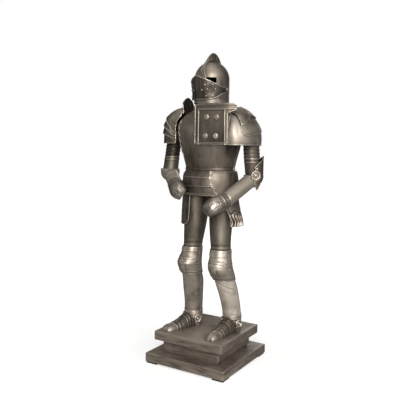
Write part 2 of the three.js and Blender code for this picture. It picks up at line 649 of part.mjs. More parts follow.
// ---------------------------------------------------------------- arms
// shoulder sections: x is the distance of the oval's centre from the body's middle, reach how far the
// straight front and back flanks run inwards from it
const SHOULDER_RIGHT = [
  { z: 452, x: 86, y: 0, side: 22.4, fore: 25, aft: 25, reach: 24 },
  { z: 470, x: 84, y: 0, side: 26, fore: 28, aft: 28, reach: 24 },
  { z: 480, x: 83, y: 0, side: 27, fore: 29, aft: 29, reach: 24 },
  { z: 495, x: 80, y: 0, side: 26, fore: 29, aft: 29, reach: 24 },
  { z: 508, x: 74, y: 0, side: 24, fore: 27, aft: 26, reach: 29 },
  { z: 518, x: 66, y: 0, side: 21, fore: 22, aft: 21, reach: 16 },
  { z: 524, x: 60, y: 0, side: 15, fore: 14, aft: 14, reach: 2 },
  { z: 527, x: 56, y: 0, side: 6, fore: 5, aft: 5, reach: 0 },
];
const SHOULDER_LEFT = [
  { z: 450, x: 77, y: -2, side: 31, fore: 54.5, aft: 46, reach: 15 },
  { z: 470, x: 77, y: -2, side: 31, fore: 54.5, aft: 46, reach: 15 },
  { z: 485, x: 76, y: -2, side: 28, fore: 50, aft: 42, reach: 13 },
  { z: 497, x: 73, y: -2, side: 24, fore: 43, aft: 36, reach: 11 },
  { z: 508, x: 68, y: -2, side: 20, fore: 32, aft: 28, reach: 8 },
  { z: 516, x: 63, y: -2, side: 15, fore: 20, aft: 19, reach: 4 },
  { z: 520.5, x: 59, y: -2, side: 8.5, fore: 9, aft: 9, reach: 1 },
];
// lower edges of the left shoulder's cap and of the lame below it, by angle from the outside
const CAP_EDGE_LEFT = [
  { angle: -150, z: 513 },
  { angle: -90, z: 509 },
  { angle: -67, z: 503 },
  { angle: -54, z: 486 },
  { angle: -34, z: 494 },
  { angle: -10, z: 505 },
  { angle: 31, z: 502 },
  { angle: 120, z: 500 },
];
const LAME_EDGE_LEFT = [
  { angle: -56, z: 475 },
  { angle: -43, z: 467 },
  { angle: 32, z: 478 },
  { angle: 60, z: 474 },
];

/** Point of a shoulder section: angle 0 faces outwards, negative angles turn to the front. */
function shoulderPoint(table, sign, z, angle) {
  const s = rowAt(table, 'z', z);
  const turn = Math.min(90, Math.abs(angle)) * DEG;
  const past = Math.max(0, Math.abs(angle) - 90) / 90;
  const depth = angle < 0 ? -s.fore : s.aft;
  return vec(sign * (s.x + s.side * Math.cos(turn) - past * s.reach), s.y + depth * Math.sin(turn), z);
}

/** Shoulder lame between two heights that may depend on the angle; it stands off below its tucked top. */
function lame(table, sign, {
  front, back, low, high, across = 12, along = 3, innerAlong = along, stand = LAP, tuck = 3,
}) {
  const angleAt = (u) => mix(-front, back, u);
  const at = (u, v) => shoulderPoint(table, sign, mix(low(angleAt(u)), high(angleAt(u)), v), angleAt(u));
  const lift = (u, v) => {
    const height = high(angleAt(u)) - low(angleAt(u));
    return stand * clamp01(1 - (v * height) / (height - tuck));
  };
  return shell({ across, along, innerAlong, at, hand: sign, lift: tuck > 0 ? lift : () => stand });
}

// right arm: heights of the lames' edges on the outside, and where they all meet at the front
const FAN = { meet: 454.5, spread: 6.2, turn: 135, edges: [452, 474, 491, 507] };

function fanEdge(n) {
  return (angle) => {
    const behind = smooth(clamp01((angle - 15) / 95));
    if (angle >= 0) return FAN.edges[n] - 6 * n * behind;
    const ahead = smooth(clamp01((-angle - 15) / FAN.turn));
    return mix(FAN.edges[n], FAN.meet + n * FAN.spread, n === 0 ? 0 : ahead);
  };
}

/** Oval tube along an arm: stations of distance from the start and of half-widths. */
function armTube(stations, { across = 12, along = 3, from = 0, to, ...rest }) {
  const at = (u, v) => {
    const t = mix(from, to, v);
    const s = rowAt(stations, 't', t);
    return vec(s.x + s.side * Math.sin(u * 2 * Math.PI), s.y - s.fore * Math.cos(u * 2 * Math.PI), t);
  };
  return shell({ across, along, at, loop: true, ...rest });
}

const ARM_RIGHT = {
  side: 'right', sign: -1,
  shoulder: { x: -89, y: 0, z: 468 }, elbow: { x: -97.5, y: -4, z: 391 },
  sleeve: 15, upperFlare: 16.4, cup: 20.2,
  wrist: { x: -57, y: -44, z: 368 }, hand: { x: -29, y: -76, z: 356 },
  palm: vec(0.7, 0.5, -0.5), forearm: 14, cuff: 13,
};
const ARM_LEFT = {
  side: 'left', sign: 1,
  shoulder: { x: 89, y: 3, z: 468 }, elbow: { x: 93.9, y: 8.5, z: 385 },
  sleeve: 15.6, upperFlare: 14.9, cup: 18.6,
  wrist: { x: 70.6, y: -55.2, z: 345 }, hand: { x: 54.4, y: -94.6, z: 330.6 },
  palm: vec(-0.6, 0.3, -0.74), forearm: 13.2, cuff: 12.8,
};
const SLEEVE_BOTTOM = 424;
const RIBS_TOP = 466;
const SLEEVE_END = { x: 62, y: 0, z: 490 };
const CUP_RIM = 0.3;          // height of the elbow cup's rim over its centre, as a share of its radius

const BALL_RINGS = 7;

function elbowBall(arm, grow) {
  const r = arm.cup + grow;
  const rings = [];
  for (let n = 0.5; n < BALL_RINGS; n += 1) {
    const a = mix(-90, 90, n / BALL_RINGS) * DEG;
    rings.push(Array.from({ length: 12 }, (_, k) => vec(
      arm.elbow.x + r * Math.cos(a) * Math.cos((k / 6) * Math.PI),
      arm.elbow.y + r * Math.cos(a) * Math.sin((k / 6) * Math.PI),
      arm.elbow.z + r * Math.sin(a),
    )));
  }
  return loft(rings);
}

function buildArm(arm) {
  const { side, shoulder, elbow } = arm;
  const centre = (z) => {
    const t = (shoulder.z - z) / (shoulder.z - elbow.z);
    return vec(mix(shoulder.x, elbow.x, t), mix(shoulder.y, elbow.y, t), z);
  };
  add(`sleeve_${side}`, sleeveGeometry(arm, centre), DARK_STEEL);
  const rim = elbow.z + arm.cup * CUP_RIM;
  const upperAt = (u, v) => {
    const middle = centre(mix(rim - 3, SLEEVE_BOTTOM - GAP, v));
    const r = mix(arm.upperFlare, arm.sleeve + 0.4, v);
    return ovalPoint({ x: middle.x, y: middle.y, z: middle.z, side: r, fore: r, aft: r }, u * 2 * Math.PI);
  };
  add(`rerebrace_${side}`, shell({ across: 12, along: 2, at: upperAt, loop: true, innerAlong: 1 }));

  const start = vec(elbow.x, elbow.y, elbow.z);
  const wrist = vec(arm.wrist.x, arm.wrist.y, arm.wrist.z);
  const hand = vec(arm.hand.x, arm.hand.y, arm.hand.z);
  const forearmLength = start.distanceTo(wrist);
  // elbow cup: an open bowl whose rim takes the upper arm; the forearm starts at its surface
  const ball = elbowBall(arm, 0);
  const hollow = elbowBall(arm, -SHEET);
  const rimCut = squareBlock([{ half: 40, z: rim }, { half: 40, z: elbow.z + 60 }], elbow.x, elbow.y);
  const mouth = solidAlong(arm, start, wrist, arm.forearm - 3);
  add(`couter_${side}`, cut(ball, hollow, rimCut, mouth), BRIGHT_STEEL);
  const reachAlong = { from: arm.cup * 0.7, to: forearmLength + 1.5 };
  const tube = armTube(forearmStations(arm, forearmLength, 0), reachAlong);
  const placed = tube.applyMatrix4(frameAlong(start, wrist, arm.palm));
  add(`vambrace_${side}`, cut(placed, elbowBall(arm, GAP)));
  add(`gauntlet_${side}`, gauntlet(arm, wrist, hand), DARK_STEEL);
}

/** Ribbed sleeve that rises from the upper arm and bends into the armhole, open at both ends. */
function sleeveGeometry(arm, centre) {
  const end = vec(arm.sign * SLEEVE_END.x, SLEEVE_END.y, SLEEVE_END.z);
  const ribsTop = centre(RIBS_TOP);
  const path = new THREE.CatmullRomCurve3([
    ribsTop, vec(arm.sign * 86.5, ribsTop.y, 480), vec(arm.sign * 77, end.y, 489), end,
  ]);
  const RIBBED = 0.75;           // share of the shell's length that is ribbed
  const at = (u, v) => {
    const along = clamp01((v - RIBBED) / (1 - RIBBED));
    const middle = v < RIBBED ? centre(mix(SLEEVE_BOTTOM, RIBS_TOP, v / RIBBED)) : path.getPointAt(along);
    const upright = vec(0, 0, 1);
    const tangent = v < RIBBED ? upright : path.getTangentAt(along).lerp(upright, 1 - smooth(along));
    tangent.normalize();
    const across = tangent.clone().cross(vec(0, -1, 0)).normalize();
    const fore = across.clone().cross(tangent);
    const rib = v < RIBBED ? 0.9 * (0.5 + 0.5 * Math.cos(2 * Math.PI * ARM_RIBS * (v / RIBBED))) : 0.9;
    const r = mix(arm.sleeve - rib, 14.4, along);
    return middle.addScaledVector(across, -r * Math.sin(u * 2 * Math.PI))
      .addScaledVector(fore, r * Math.cos(u * 2 * Math.PI));
  };
  return shell({ across: 10, along: 16, at, loop: true, innerAlong: 6 });
}

function forearmStations(arm, length, grow) {
  return [
    { t: 0, x: 0, y: 0, side: arm.forearm + grow, fore: arm.forearm + grow },
    { t: length * 0.5, x: 0, y: 0, side: arm.forearm + grow, fore: arm.forearm + grow },
    { t: length, x: 0, y: 0, side: arm.cuff + grow, fore: arm.cuff + grow },
  ];
}

/** Plain round bar along the forearm, used to open the elbow cup where the forearm leaves it. */
function solidAlong(arm, start, wrist, radius) {
  const bar = turned([[0, 0], [radius, 0], [radius, 60], [0, 60]], 12);
  return bar.applyMatrix4(frameAlong(start, wrist, arm.palm));
}

// mitten: share of its length, half-width across the knuckles and height over the hand
const MITTEN = [
  { t: 0, wide: 15, tall: 15 },
  { t: 0.25, wide: 15.2, tall: 14.4 },
  { t: 0.5, wide: 16.8, tall: 14 },
  { t: 0.72, wide: 16.6, tall: 13 },
  { t: 0.88, wide: 15, tall: 11 },
  { t: 1, wide: 12.5, tall: 8 },
];

/** Mitten gauntlet: a plate wrapped round the back of the hand, open along the palm, its end curled. */
function gauntlet(arm, wrist, hand) {
  const axis = hand.clone().sub(wrist);
  const length = axis.length() + 6;
  axis.normalize();
  const palm = arm.palm.clone().addScaledVector(axis, -arm.palm.dot(axis)).normalize();
  const side = axis.clone().cross(palm);
  const CURL_FROM = 0.55;
  const CURL = 75;
  const OPEN = 38;              // half the palm's open angle, degrees
  const at = (u, v) => {
    const s = rowAt(MITTEN, 't', v);
    const angle = mix(180 + OPEN, 540 - OPEN, u) * DEG;
    const curled = Math.max(0, v - CURL_FROM) / (1 - CURL_FROM);
    const turn = curled * CURL * DEG;
    const bend = (length * (1 - CURL_FROM)) / (CURL * DEG);
    const straight = Math.min(v, CURL_FROM) * length;
    const centre = wrist.clone().addScaledVector(axis, straight + bend * Math.sin(turn));
    centre.addScaledVector(palm, bend * (1 - Math.cos(turn)));
    const up = palm.clone().multiplyScalar(-Math.cos(turn)).addScaledVector(axis, Math.sin(turn));
    centre.addScaledVector(side, s.wide * Math.sin(angle));
    return centre.addScaledVector(up, s.tall * Math.cos(angle));
  };
  return shell({ across: 10, along: 6, at, hand: -1, innerAlong: 4 });
}

function buildShoulders() {
  const fan = [0, 1, 2].map((n) => lame(SHOULDER_RIGHT, -1, {
    front: 150, back: 100, low: fanEdge(n), high: (angle) => fanEdge(n + 1)(angle) + 2.5,
  }));
  fan.forEach((geometry, n) => add(`pauldron_lame_right_${3 - n}`, geometry));
  add('pauldron_cap_right', lame(SHOULDER_RIGHT, -1, {
    front: 150, back: 110, low: fanEdge(3), high: () => 526.6, along: 5,
  }));
  const hauteAt = (u, v) => {
    const y = mix(-28, 16, u);
    const top = 544 - 0.03 * (y + 8) ** 2;
    return vec(-50 - 2 * v, y, mix(512, top, v));
  };
  add('haute_piece_right', shell({ across: 8, along: 3, at: hauteAt, hand: -1, wall: 1.5 }), DARK_STEEL);

  const capEdge = (angle) => column(CAP_EDGE_LEFT, 'angle', 'z', angle);
  const lameEdge = (angle) => column(LAME_EDGE_LEFT, 'angle', 'z', angle);
  add('pauldron_wing_left', lame(SHOULDER_LEFT, 1, {
    front: 150, back: 120, low: () => 450, high: (angle) => capEdge(angle) + 3,
    across: 18, along: 3, stand: 0,
  }));
  add('pauldron_lame_left', lame(SHOULDER_LEFT, 1, {
    front: 56, back: 60, low: lameEdge, high: (angle) => capEdge(angle) + 3, across: 10, stand: 1.8, tuck: 0,
  }));
  add('pauldron_cap_left', lame(SHOULDER_LEFT, 1, {
    front: 130, back: 120, low: capEdge, high: () => 520.4, across: 12, along: 4, stand: 3.9, tuck: 0,
  }));
}

// plate wrapped round the outside and back of the left elbow: angle from the front in degrees, and the
// heights of its lower and upper edges over the elbow
const WING = [
  { angle: 38, low: -12, high: 22 },
  { angle: 50, low: -22, high: 27 },
  { angle: 76, low: -9, high: 34 },
  { angle: 121, low: 5, high: 43.5 },
  { angle: 150, low: 12, high: 41 },
  { angle: 186, low: 19, high: 34 },
];
const ELBOW_DISC = { radius: 9.4, height: 4.2, facing: 40, up: 6.5 };

function buildLeftElbowTrim() {
  const elbow = ARM_LEFT.elbow;
  const reach = ARM_LEFT.cup + GAP + SHEET;
  const wingAt = (u, v) => {
    const row = rowAt(WING, 'angle', mix(38, 186, u));
    const angle = row.angle * DEG;
    return vec(
      elbow.x + reach * Math.sin(angle),
      elbow.y - reach * Math.cos(angle),
      elbow.z + mix(row.low, row.high, v),
    );
  };
  add('couter_wing_left', shell({ across: 14, along: 3, at: wingAt, innerAlong: 1 }), STEEL);
  const { radius, height, facing, up } = ELBOW_DISC;
  const disc = turned([[0, 0], [radius, 0], [radius, height * 0.6], [radius - 1.8, height],
    [radius - 3.4, height * 0.6], [2.6, height * 0.6], [0, height * 1.05]], 14);
  disc.rotateY(Math.PI / 2).translate(reach + GAP + 0.3, 0, up).rotateZ((facing - 90) * DEG);
  add('couter_disc_left', disc.translate(elbow.x, elbow.y, elbow.z), BRIGHT_STEEL);
}

buildPedestal();
[RIGHT_LEG, LEFT_LEG].forEach(buildLeg);
buildTorso();
buildHead();
[ARM_RIGHT, ARM_LEFT].forEach(buildArm);
buildShoulders();
buildLeftElbowTrim();

// moved so that the origin is the middle of the footprint, at the undersides of the pads
statuette.updateMatrixWorld(true);
const extent = new THREE.Box3().setFromObject(statuette, true);
const middle = extent.getCenter(vec(0, 0, 0));
statuette.position.set(-middle.x, -middle.y, -extent.min.z);

export default statuette;
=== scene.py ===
"""Looks of a suit of plate armour on a stepped pedestal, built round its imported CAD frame.

Sizes are in millimetres in the tables and become metres in the meshes. The suit faces -Y and its left
side is +X. The tables count from the middle of the lower slab's underside, which is at PLACE.
"""
import math

import bmesh
import bpy
import numpy as np
from mathutils import Matrix, Vector


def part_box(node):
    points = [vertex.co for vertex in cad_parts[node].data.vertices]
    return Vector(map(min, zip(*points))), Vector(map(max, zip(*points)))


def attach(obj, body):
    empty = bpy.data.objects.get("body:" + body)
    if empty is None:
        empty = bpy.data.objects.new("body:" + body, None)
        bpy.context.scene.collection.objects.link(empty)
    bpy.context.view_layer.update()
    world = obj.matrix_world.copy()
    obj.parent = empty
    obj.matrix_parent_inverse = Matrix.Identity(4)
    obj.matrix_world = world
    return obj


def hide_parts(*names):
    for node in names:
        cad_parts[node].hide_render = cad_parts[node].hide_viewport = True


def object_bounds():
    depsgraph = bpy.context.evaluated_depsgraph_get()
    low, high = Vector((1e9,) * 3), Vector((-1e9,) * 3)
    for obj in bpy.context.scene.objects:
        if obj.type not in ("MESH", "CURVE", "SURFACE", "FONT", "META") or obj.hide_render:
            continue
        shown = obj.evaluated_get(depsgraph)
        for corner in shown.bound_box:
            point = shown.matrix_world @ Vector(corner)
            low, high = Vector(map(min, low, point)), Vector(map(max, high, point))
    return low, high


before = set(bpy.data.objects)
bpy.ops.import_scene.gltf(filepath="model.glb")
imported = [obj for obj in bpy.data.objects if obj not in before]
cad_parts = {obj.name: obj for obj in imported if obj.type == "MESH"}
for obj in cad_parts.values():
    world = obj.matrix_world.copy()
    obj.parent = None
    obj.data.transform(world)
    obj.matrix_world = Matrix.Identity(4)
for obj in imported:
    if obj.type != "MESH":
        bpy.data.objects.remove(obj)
CAD_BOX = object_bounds()
MM = 0.001
slab_low, slab_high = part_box("base_lower_slab")
PLACE = np.array([(slab_low[0] + slab_high[0]) / 2, (slab_low[1] + slab_high[1]) / 2, slab_low[2]])
SHEET = 1.2
GAP = 0.35
DEG = math.pi / 180
ROUND = 2 * math.pi
SUIT = "suit"
VISOR_BODY = "visor"

# ------------------------------------------------------------------ tables


def table(columns, *rows):
    """Named columns of numbers; the first column is the one the others are read by."""
    values = np.array(rows, dtype=float)
    return {name: values[:, n] for n, name in enumerate(columns.split())}


def read(rows, name, at):
    """One column of a table at any value of its first column, on a smooth curve through its rows."""
    key = next(iter(rows))
    x, y = rows[key], rows[name]
    last = len(x) - 1
    low = np.clip(np.arange(last + 1) - 1, 0, last)
    high = np.clip(np.arange(last + 1) + 1, 0, last)
    slope = (y[high] - y[low]) / (x[high] - x[low])
    at = np.asarray(at, dtype=float)
    i = np.clip(np.searchsorted(x, at, side="right") - 1, 0, last - 1)
    span = x[i + 1] - x[i]
    t = np.clip((at - x[i]) / span, 0, 1)
    blend = t * t * (3 - 2 * t)
    rise = span * (slope[i] * t * (1 - t) ** 2 - slope[i + 1] * t * t * (1 - t))
    return y[i] + (y[i + 1] - y[i]) * blend + rise


def ends(rows):
    """Lowest and highest value that a table covers."""
    return next(iter(rows.values()))[[0, -1]]


SIGN = {"right": -1, "left": 1}
BOARDS = (("lower_slab_board", "base_lower_slab", 93, 0, 18.5, 1.2),
          ("upper_slab_board", "base_upper_slab", 80, 45.3, 64, 1.2),
          ("neck_board", "base_neck", 66.5, 24.2, 44.95, 0.6),
          ("neck_recess", None, 63.5, 18.85, 24.4, 0.3))

OVAL = "z x y side fore aft"
THIGH = {
    "right": table(OVAL, (238, -34.8, -8, 19.2, 19.5, 19.5), (260, -33, -7, 21, 21.5, 22),
                   (290, -31, -5, 23.4, 24.5, 25.5), (322, -30.4, -2.5, 25.4, 27.6, 28),
                   (352, -30.6, -1.4, 26.4, 29.4, 29.4)),
    "left": table(OVAL, (238, 34.8, -10.5, 20.4, 20.5, 20.5), (260, 33, -9.5, 21.4, 22, 22),
                  (290, 31, -6, 23.4, 24.5, 25.5), (322, 30.4, -2.5, 25.4, 27.6, 28),
                  (352, 30.6, -1.4, 26.4, 29.4, 29.4)),
}
KNEE = {
    "right": table(OVAL, (181, -38.5, -5.5, 23.6, 23.5, 25), (190, -39, -7, 24.2, 27, 23.5),
                   (203, -39.3, -9, 24.6, 31, 22.5), (213, -38, -9, 23.4, 28, 22),
                   (221, -36.6, -8.4, 22, 24, 22), (237.6, -34.8, -8, 20.8, 21.2, 21.2)),
    "left": table(OVAL, (176, 40.2, -4.5, 24, 23.5, 25.6), (186, 39.4, -8, 24.8, 27.5, 24),
                  (200, 38, -12.5, 24.8, 31.5, 22.5), (211, 36.6, -12.5, 23.6, 28.5, 22),
                  (220, 35.6, -11.6, 22.4, 24.5, 22), (237.6, 34.8, -10.5, 22, 22.2, 22.2)),
}
KNEE_EDGES = {"right": (184.5, 205, 229, 214), "left": (182.5, 208, 225, 213)}
SHIN = {
    "right": table(OVAL, (95.8, -41, 8.8, 19.2, 18.8, 19.6), (115, -40.8, 8.2, 19.4, 19, 20.5),
                   (139, -40.4, 5.4, 20.9, 20.2, 23), (165, -39, 1, 22, 21.2, 24.5),
                   (184, -38.5, -5.4, 21.2, 21.2, 20.8)),
    "left": table(OVAL, (95.8, 46.6, 22, 19.4, 19, 20), (115, 45.4, 18, 19.6, 19.2, 21),
                  (139, 43.4, 11.6, 20.6, 20.2, 23), (160, 41.4, 4.2, 21.6, 21.2, 24),
                  (179, 40, -4.6, 21.7, 21.4, 21.2)),
}
FOOT_PLACE = {"right": (-41.5, -1, -14), "left": (47, 14, -2)}
FOOT_LENGTH = {"right": 0.87, "left": 0.97}
SLAB_TOP = 64
SABATON_LAMES = (12, 19, 26, 50)
FOOT = table("forward half height", (-27, 9, 14), (-18, 14.5, 20), (0, 16.6, 26), (14, 16.8, 26.5),
             (26, 16.6, 22), (40, 16.2, 16.5), (58, 15, 12.6))
TOE = table("forward half height", (58, 15, 12.6), (66, 15.4, 12.4), (74, 14.6, 11.4),
            (80, 12.4, 9), (84.4, 8.6, 5.4), (85.4, 0.5, 0.4))
ANKLE_CUP = dict(behind=9, side=19, fore=18.6, aft=19.4, height=31)
ANKLE_DISC = dict(radius=8.4, height=4.2, up=17, forward=20)

TORSO = table(OVAL, (399.6, 0, 0, 55.8, 42.4, 37.4), (404, 0, 0, 54.4, 41, 36), (420, 0, 0, 57.5, 46.5, 39.5),
              (447, 0, 0, 65, 54, 44.5), (470, 0, 0, 69.5, 57, 47), (489, 0, 0, 70, 54, 47),
              (505, 0, 0, 60, 45, 42), (514, 0, 0, 46, 37.5, 37.5))
SKIRT = table(OVAL, (349, 0, 0, 61.5, 47.5, 43.5), (362, 0, 0, 61, 49.5, 44), (380, 0, 0, 59.5, 49, 42.6),
              (392, 0, 0, 56.8, 44.4, 39), (399, 0, 0, 53.6, 40, 35), (404, 0, 0, 52.4, 38.8, 33.8))
SKIRT_LAMES = (366, 383, 351)
TASSET_RIGHT = table(OVAL, (287, 0, 0, 62, 48, 44), (320, 0, 0, 61, 47, 43.5), (345, 0, 0, 59.6, 45.2, 41.6),
                     (355, 0, 0, 58.8, 44.8, 41))
TASSET_LEFT = table(OVAL, (288, 3, 2, 69, 53, 48), (312, 2, 1, 67, 52, 47), (336, 0, 0, 64, 50.5, 46),
                    (362, 0, 0, 63, 51.6, 46), (380, 0, 0, 61.5, 51.6, 45), (392, 0, 0, 59.6, 48.6, 42.6),
                    (398, 0, 0, 58, 45.6, 40.6))
COLLAR = table(OVAL, (507, 0, 0, 45.2, 36.2, 36.2), (514, 0, 0, 43.4, 35.6, 35.6),
               (523, 0, 0, 36, 33.8, 33.8), (531, 0, 0, 33.1, 33.1, 33.1), (538, 0, 0, 33.1, 33.1, 33.1))
ARMHOLE = dict(bottom=454, top=500, widest=60, seam=89.7)
REINFORCE = dict(x0=-1, x1=70, bottom=450.6, top=527, y=-60.3, wall=1.5, corner=7, flange_x1=86,
                 flange_from=508)
BOSSES = [(25, 502), (47, 502), (23, 466), (46, 466)]
BOSS_HEAD = 6

HEAD = dict(radius=35.5, neck=532, dome=580, turn=13)
HEAD_PLACE = Matrix.Rotation(-HEAD["turn"] * DEG, 4, "Z")
DOME_END = 88.5
SLOT = dict(near=24, far=58, bottom=570.5, top=580.4)
COMB = table("angle reach", (20, 37), (46, 37.3), (59, 38.8), (68, 42), (76, 45.8), (84, 50.2), (92, 53.4),
             (102, 52.4), (111, 49.4), (120, 45), (130, 40.8), (146, 37.8), (166, 37.3))
COMB_THICKNESS = dict(foot=7.6, edge=2.4)
VISOR = dict(fore=45.5, side=37.3, squareness=2.2, keel=1.4, chin=39.5, sweep=93, foot=538, height=46)
VISOR_EDGE = table("angle top bottom", (0, 584, 538), (32, 575, 538), (58, 567, 542.5), (80, 562.5, 551),
                   (93, 561.5, 554.5))
VISOR_RIVETS = ((25, 566), (46, 566.5), (16, 556), (31, 557.5), (53, 557.5), (28, 544), (46, 545.5))

BALL = "z x y side fore aft reach"
SHOULDER = {
    "right": table(BALL, (452, 86, 0, 22.4, 25, 25, 24), (470, 84, 0, 26, 28, 28, 24),
                   (480, 83, 0, 27, 29, 29, 24), (495, 80, 0, 26, 29, 29, 24), (508, 74, 0, 24, 27, 26, 29),
                   (518, 66, 0, 21, 22, 21, 16), (524, 60, 0, 15, 14, 14, 2), (527, 56, 0, 6, 5, 5, 0)),
    "left": table(BALL, (450, 77, -2, 31, 54.5, 46, 15), (470, 77, -2, 31, 54.5, 46, 15),
                  (485, 76, -2, 28, 50, 42, 13), (497, 73, -2, 24, 43, 36, 11), (508, 68, -2, 20, 32, 28, 8),
                  (516, 63, -2, 15, 20, 19, 4), (520.5, 59, -2, 8.5, 9, 9, 1)),
}
CAP_EDGE_LEFT = table("angle z", (-150, 513), (-90, 509), (-67, 503), (-54, 486), (-34, 494), (-10, 505),
                      (31, 502), (120, 500))
LAME_EDGE_LEFT = table("angle z", (-56, 475), (-43, 467), (32, 478), (60, 474))
FAN = dict(meet=454.5, spread=6.2, turn=135, edges=(452, 474, 491, 507))
LAP = 2.7

ARM = {
    "right": dict(shoulder=(-89, 0, 468), elbow=(-97.5, -4, 391), sleeve=15, flare=16.4, cup=20.2,
                  wrist=(-57, -44, 368), hand=(-29, -76, 356), palm=(0.7, 0.5, -0.5), forearm=14, cuff=13),
    "left": dict(shoulder=(89, 3, 468), elbow=(93.9, 8.5, 385), sleeve=15.6, flare=14.9, cup=18.6,
                 wrist=(70.6, -55.2, 345), hand=(54.4, -94.6, 330.6), palm=(-0.6, 0.3, -0.74), forearm=13.2,
                 cuff=12.8),
}
SLEEVE_BOTTOM = 424
RIBS_TOP = 466
RIB_PITCH = 7
SLEEVE_END = (62, 0, 490)
CUP_RIM = 0.3
MITTEN = table("t wide tall", (0, 15, 15), (0.25, 15.2, 14.4), (0.5, 16.8, 14), (0.72, 16.6, 13),
               (0.88, 15, 11), (1, 12.5, 8))
WING = table("angle low high", (38, -12, 22), (50, -22, 27), (76, -9, 34), (121, 5, 43.5), (150, 12, 41),
             (186, 19, 34))
ELBOW_DISC = dict(radius=9.4, height=4.2, facing=40, up=6.5)

# ------------------------------------------------------------------ shells

FINENESS = 0.86     # share of a plate's grid, as listed with it, that is made
DENT_LENGTH = 26    # mean length of the dents in a hand-worked plate
RUB_WIDTH = 1.6     # how far in from an edge hands rub it bright
PATINA_AND_SHADE_LINE = 3.2    # how far in from an edge the patina and painted shade gather


def mix(a, b, t):
    return a + (b - a) * t


def smooth(t):
    t = np.clip(t, 0, 1)
    return t * t * (3 - 2 * t)


def bump(x, centre, width):
    """Soft ridge of height 1 at centre, gone at a distance of width."""
    return smooth(1 - np.abs(np.asarray(x) - centre) / width)


def steps(x, edges, height, run):
    """Overlapping plates: rises by height towards each edge, then drops at once."""
    out = np.zeros_like(np.asarray(x, dtype=float))
    for edge in edges:
        ahead = edge - x
        out = np.maximum(out, np.where((ahead >= 0) & (ahead < run), height * (1 - ahead / run), 0))
    return out


def hanging_steps(x, edges, height, run):
    """The same, rising downwards."""
    return steps(-x, [-edge for edge in edges], height, run)


def unit(vector):
    vector = np.asarray(vector, float)
    return vector / np.linalg.norm(vector, axis=-1, keepdims=True)


def xyz(*columns):
    return np.stack(np.broadcast_arrays(*columns), axis=-1)


def moved(points, matrix):
    m = np.array(matrix)
    return points @ m[:3, :3].T + m[:3, 3]


def wander(points, scale, seed, amount):
    """Uneven hand-worked surface: a few crossing waves, the same on every run."""
    draw = np.random.default_rng(seed)
    out = np.zeros(points.shape[:-1])
    for _ in range(7):
        direction = unit(draw.normal(size=3))
        length = scale * draw.uniform(0.6, 1.8)
        out += np.sin(points @ direction * (ROUND / length) + draw.uniform(0, 6.3))
    return amount * out / 7


def object_from(name, points, faces, rub=None, patina_and_shade=None):
    """Mesh object in metres from points in millimetres, with its rubbed-bright mask and its mask of patina
    and painted shade.
    """
    mesh = bpy.data.meshes.new(name)
    mesh.from_pydata((np.asarray(points) * MM + PLACE).tolist(), [], [[int(i) for i in f] for f in faces])
    for label, values in (("rub", rub), ("patina_and_shade", patina_and_shade)):
        attribute = mesh.attributes.new(label, "FLOAT", "POINT")
        if values is not None:
            attribute.data.foreach_set("value", np.asarray(values, dtype=np.float32).ravel())
    mesh.shade_smooth()
    return in_scene(name, mesh)


def in_scene(name, data):
    obj = bpy.data.objects.new(name, data)
    bpy.context.scene.collection.objects.link(obj)
    return obj


RIMS = {SUIT: [], VISOR_BODY: []}      # rolled wire edges: points in order, closed or not, the wire's radius
STUDS = {SUIT: [], VISOR_BODY: []}     # rivets: place, direction and radius


def grid_normals(points, loop, hand):
    if loop:
        across = np.roll(points, -1, axis=1) - np.roll(points, 1, axis=1)
    else:
        across = np.gradient(points, axis=1)
    normal = np.cross(across, np.gradient(points, axis=0)) * hand
    return normal / np.maximum(np.linalg.norm(normal, axis=2, keepdims=True), 1e-9)


def shell(name, at, across, along, node=None, material=None, loop=False, hand=1, relief=None, lift=None,
          wall=SHEET, rims="", wire=0.9, holes=None, seed=0, dents=0.12, body=SUIT, edge=0.5):
    """Bent plate. at(u, v) gives its outer face; relief(u, v, x, y, z) is worked into it."""
    across, along = round(across * FINENESS), round(along * FINENESS)
    columns, rows = across + (0 if loop else 1), along + 1
    v = np.arange(rows) / along
    grid_u, grid_v = np.meshgrid(np.arange(columns) / across, v)
    base = at(grid_u, grid_v)
    normal = grid_normals(base, loop, hand)
    height = lift(grid_u, grid_v) if lift else np.zeros((rows, columns))
    worked = wander(base, DENT_LENGTH, seed + 11, dents)
    if relief:
        worked = relief(grid_u, grid_v, *np.moveaxis(base, -1, 0)) + worked
    outer = base + normal * (height + worked)[..., None]
    if relief:
        normal = grid_normals(outer, loop, hand)
    inner = base + normal * (height + np.minimum(worked, 0) - wall)[..., None]
    keep = np.ones((along, across), dtype=bool)
    if holes:
        keep &= ~holes((np.arange(across) + 0.5)[None, :] / across, ((v[1:] + v[:-1]) / 2)[:, None])
    count = rows * columns
    faces = []

    def quad(layers, *corners):
        face = [layer * count + i * columns + j % columns for layer, (i, j) in zip(layers, corners)]
        faces.append(face if hand > 0 else face[::-1])

    def kept(i, j):
        return 0 <= i < along and (loop or 0 <= j < across) and keep[i, j % across]

    for i, j in np.argwhere(keep):
        a, b, c, d = (i, j), (i, j + 1), (i + 1, j + 1), (i + 1, j)
        quad((0, 0, 0, 0), a, b, c, d)
        quad((1, 1, 1, 1), b, a, d, c)
        for beside, p, q in (((i - 1, j), b, a), ((i + 1, j), d, c), ((i, j - 1), a, d), ((i, j + 1), c, b)):
            if not kept(*beside):
                quad((0, 0, 1, 1), p, q, q, p)
    rub, patina_and_shade = wear_and_shade(outer, worked, loop, edge)
    # The inner faces take the dark mask in full: painted shade inside the plates.
    obj = object_from(name, np.concatenate([outer.reshape(-1, 3), inner.reshape(-1, 3)]), faces,
                      np.concatenate([rub.ravel(), rub.ravel() * 0.3]),
                      np.concatenate([patina_and_shade.ravel(), np.ones(count)]))
    line = outer * 0.75 + inner * 0.25
    edges = {"b": line[0], "t": line[-1], "l": line[:, 0], "r": line[:, -1]}
    for side in rims:
        RIMS[body].append((edges[side], loop and side in "bt", wire))
    finish_plate(obj, material, node, body)


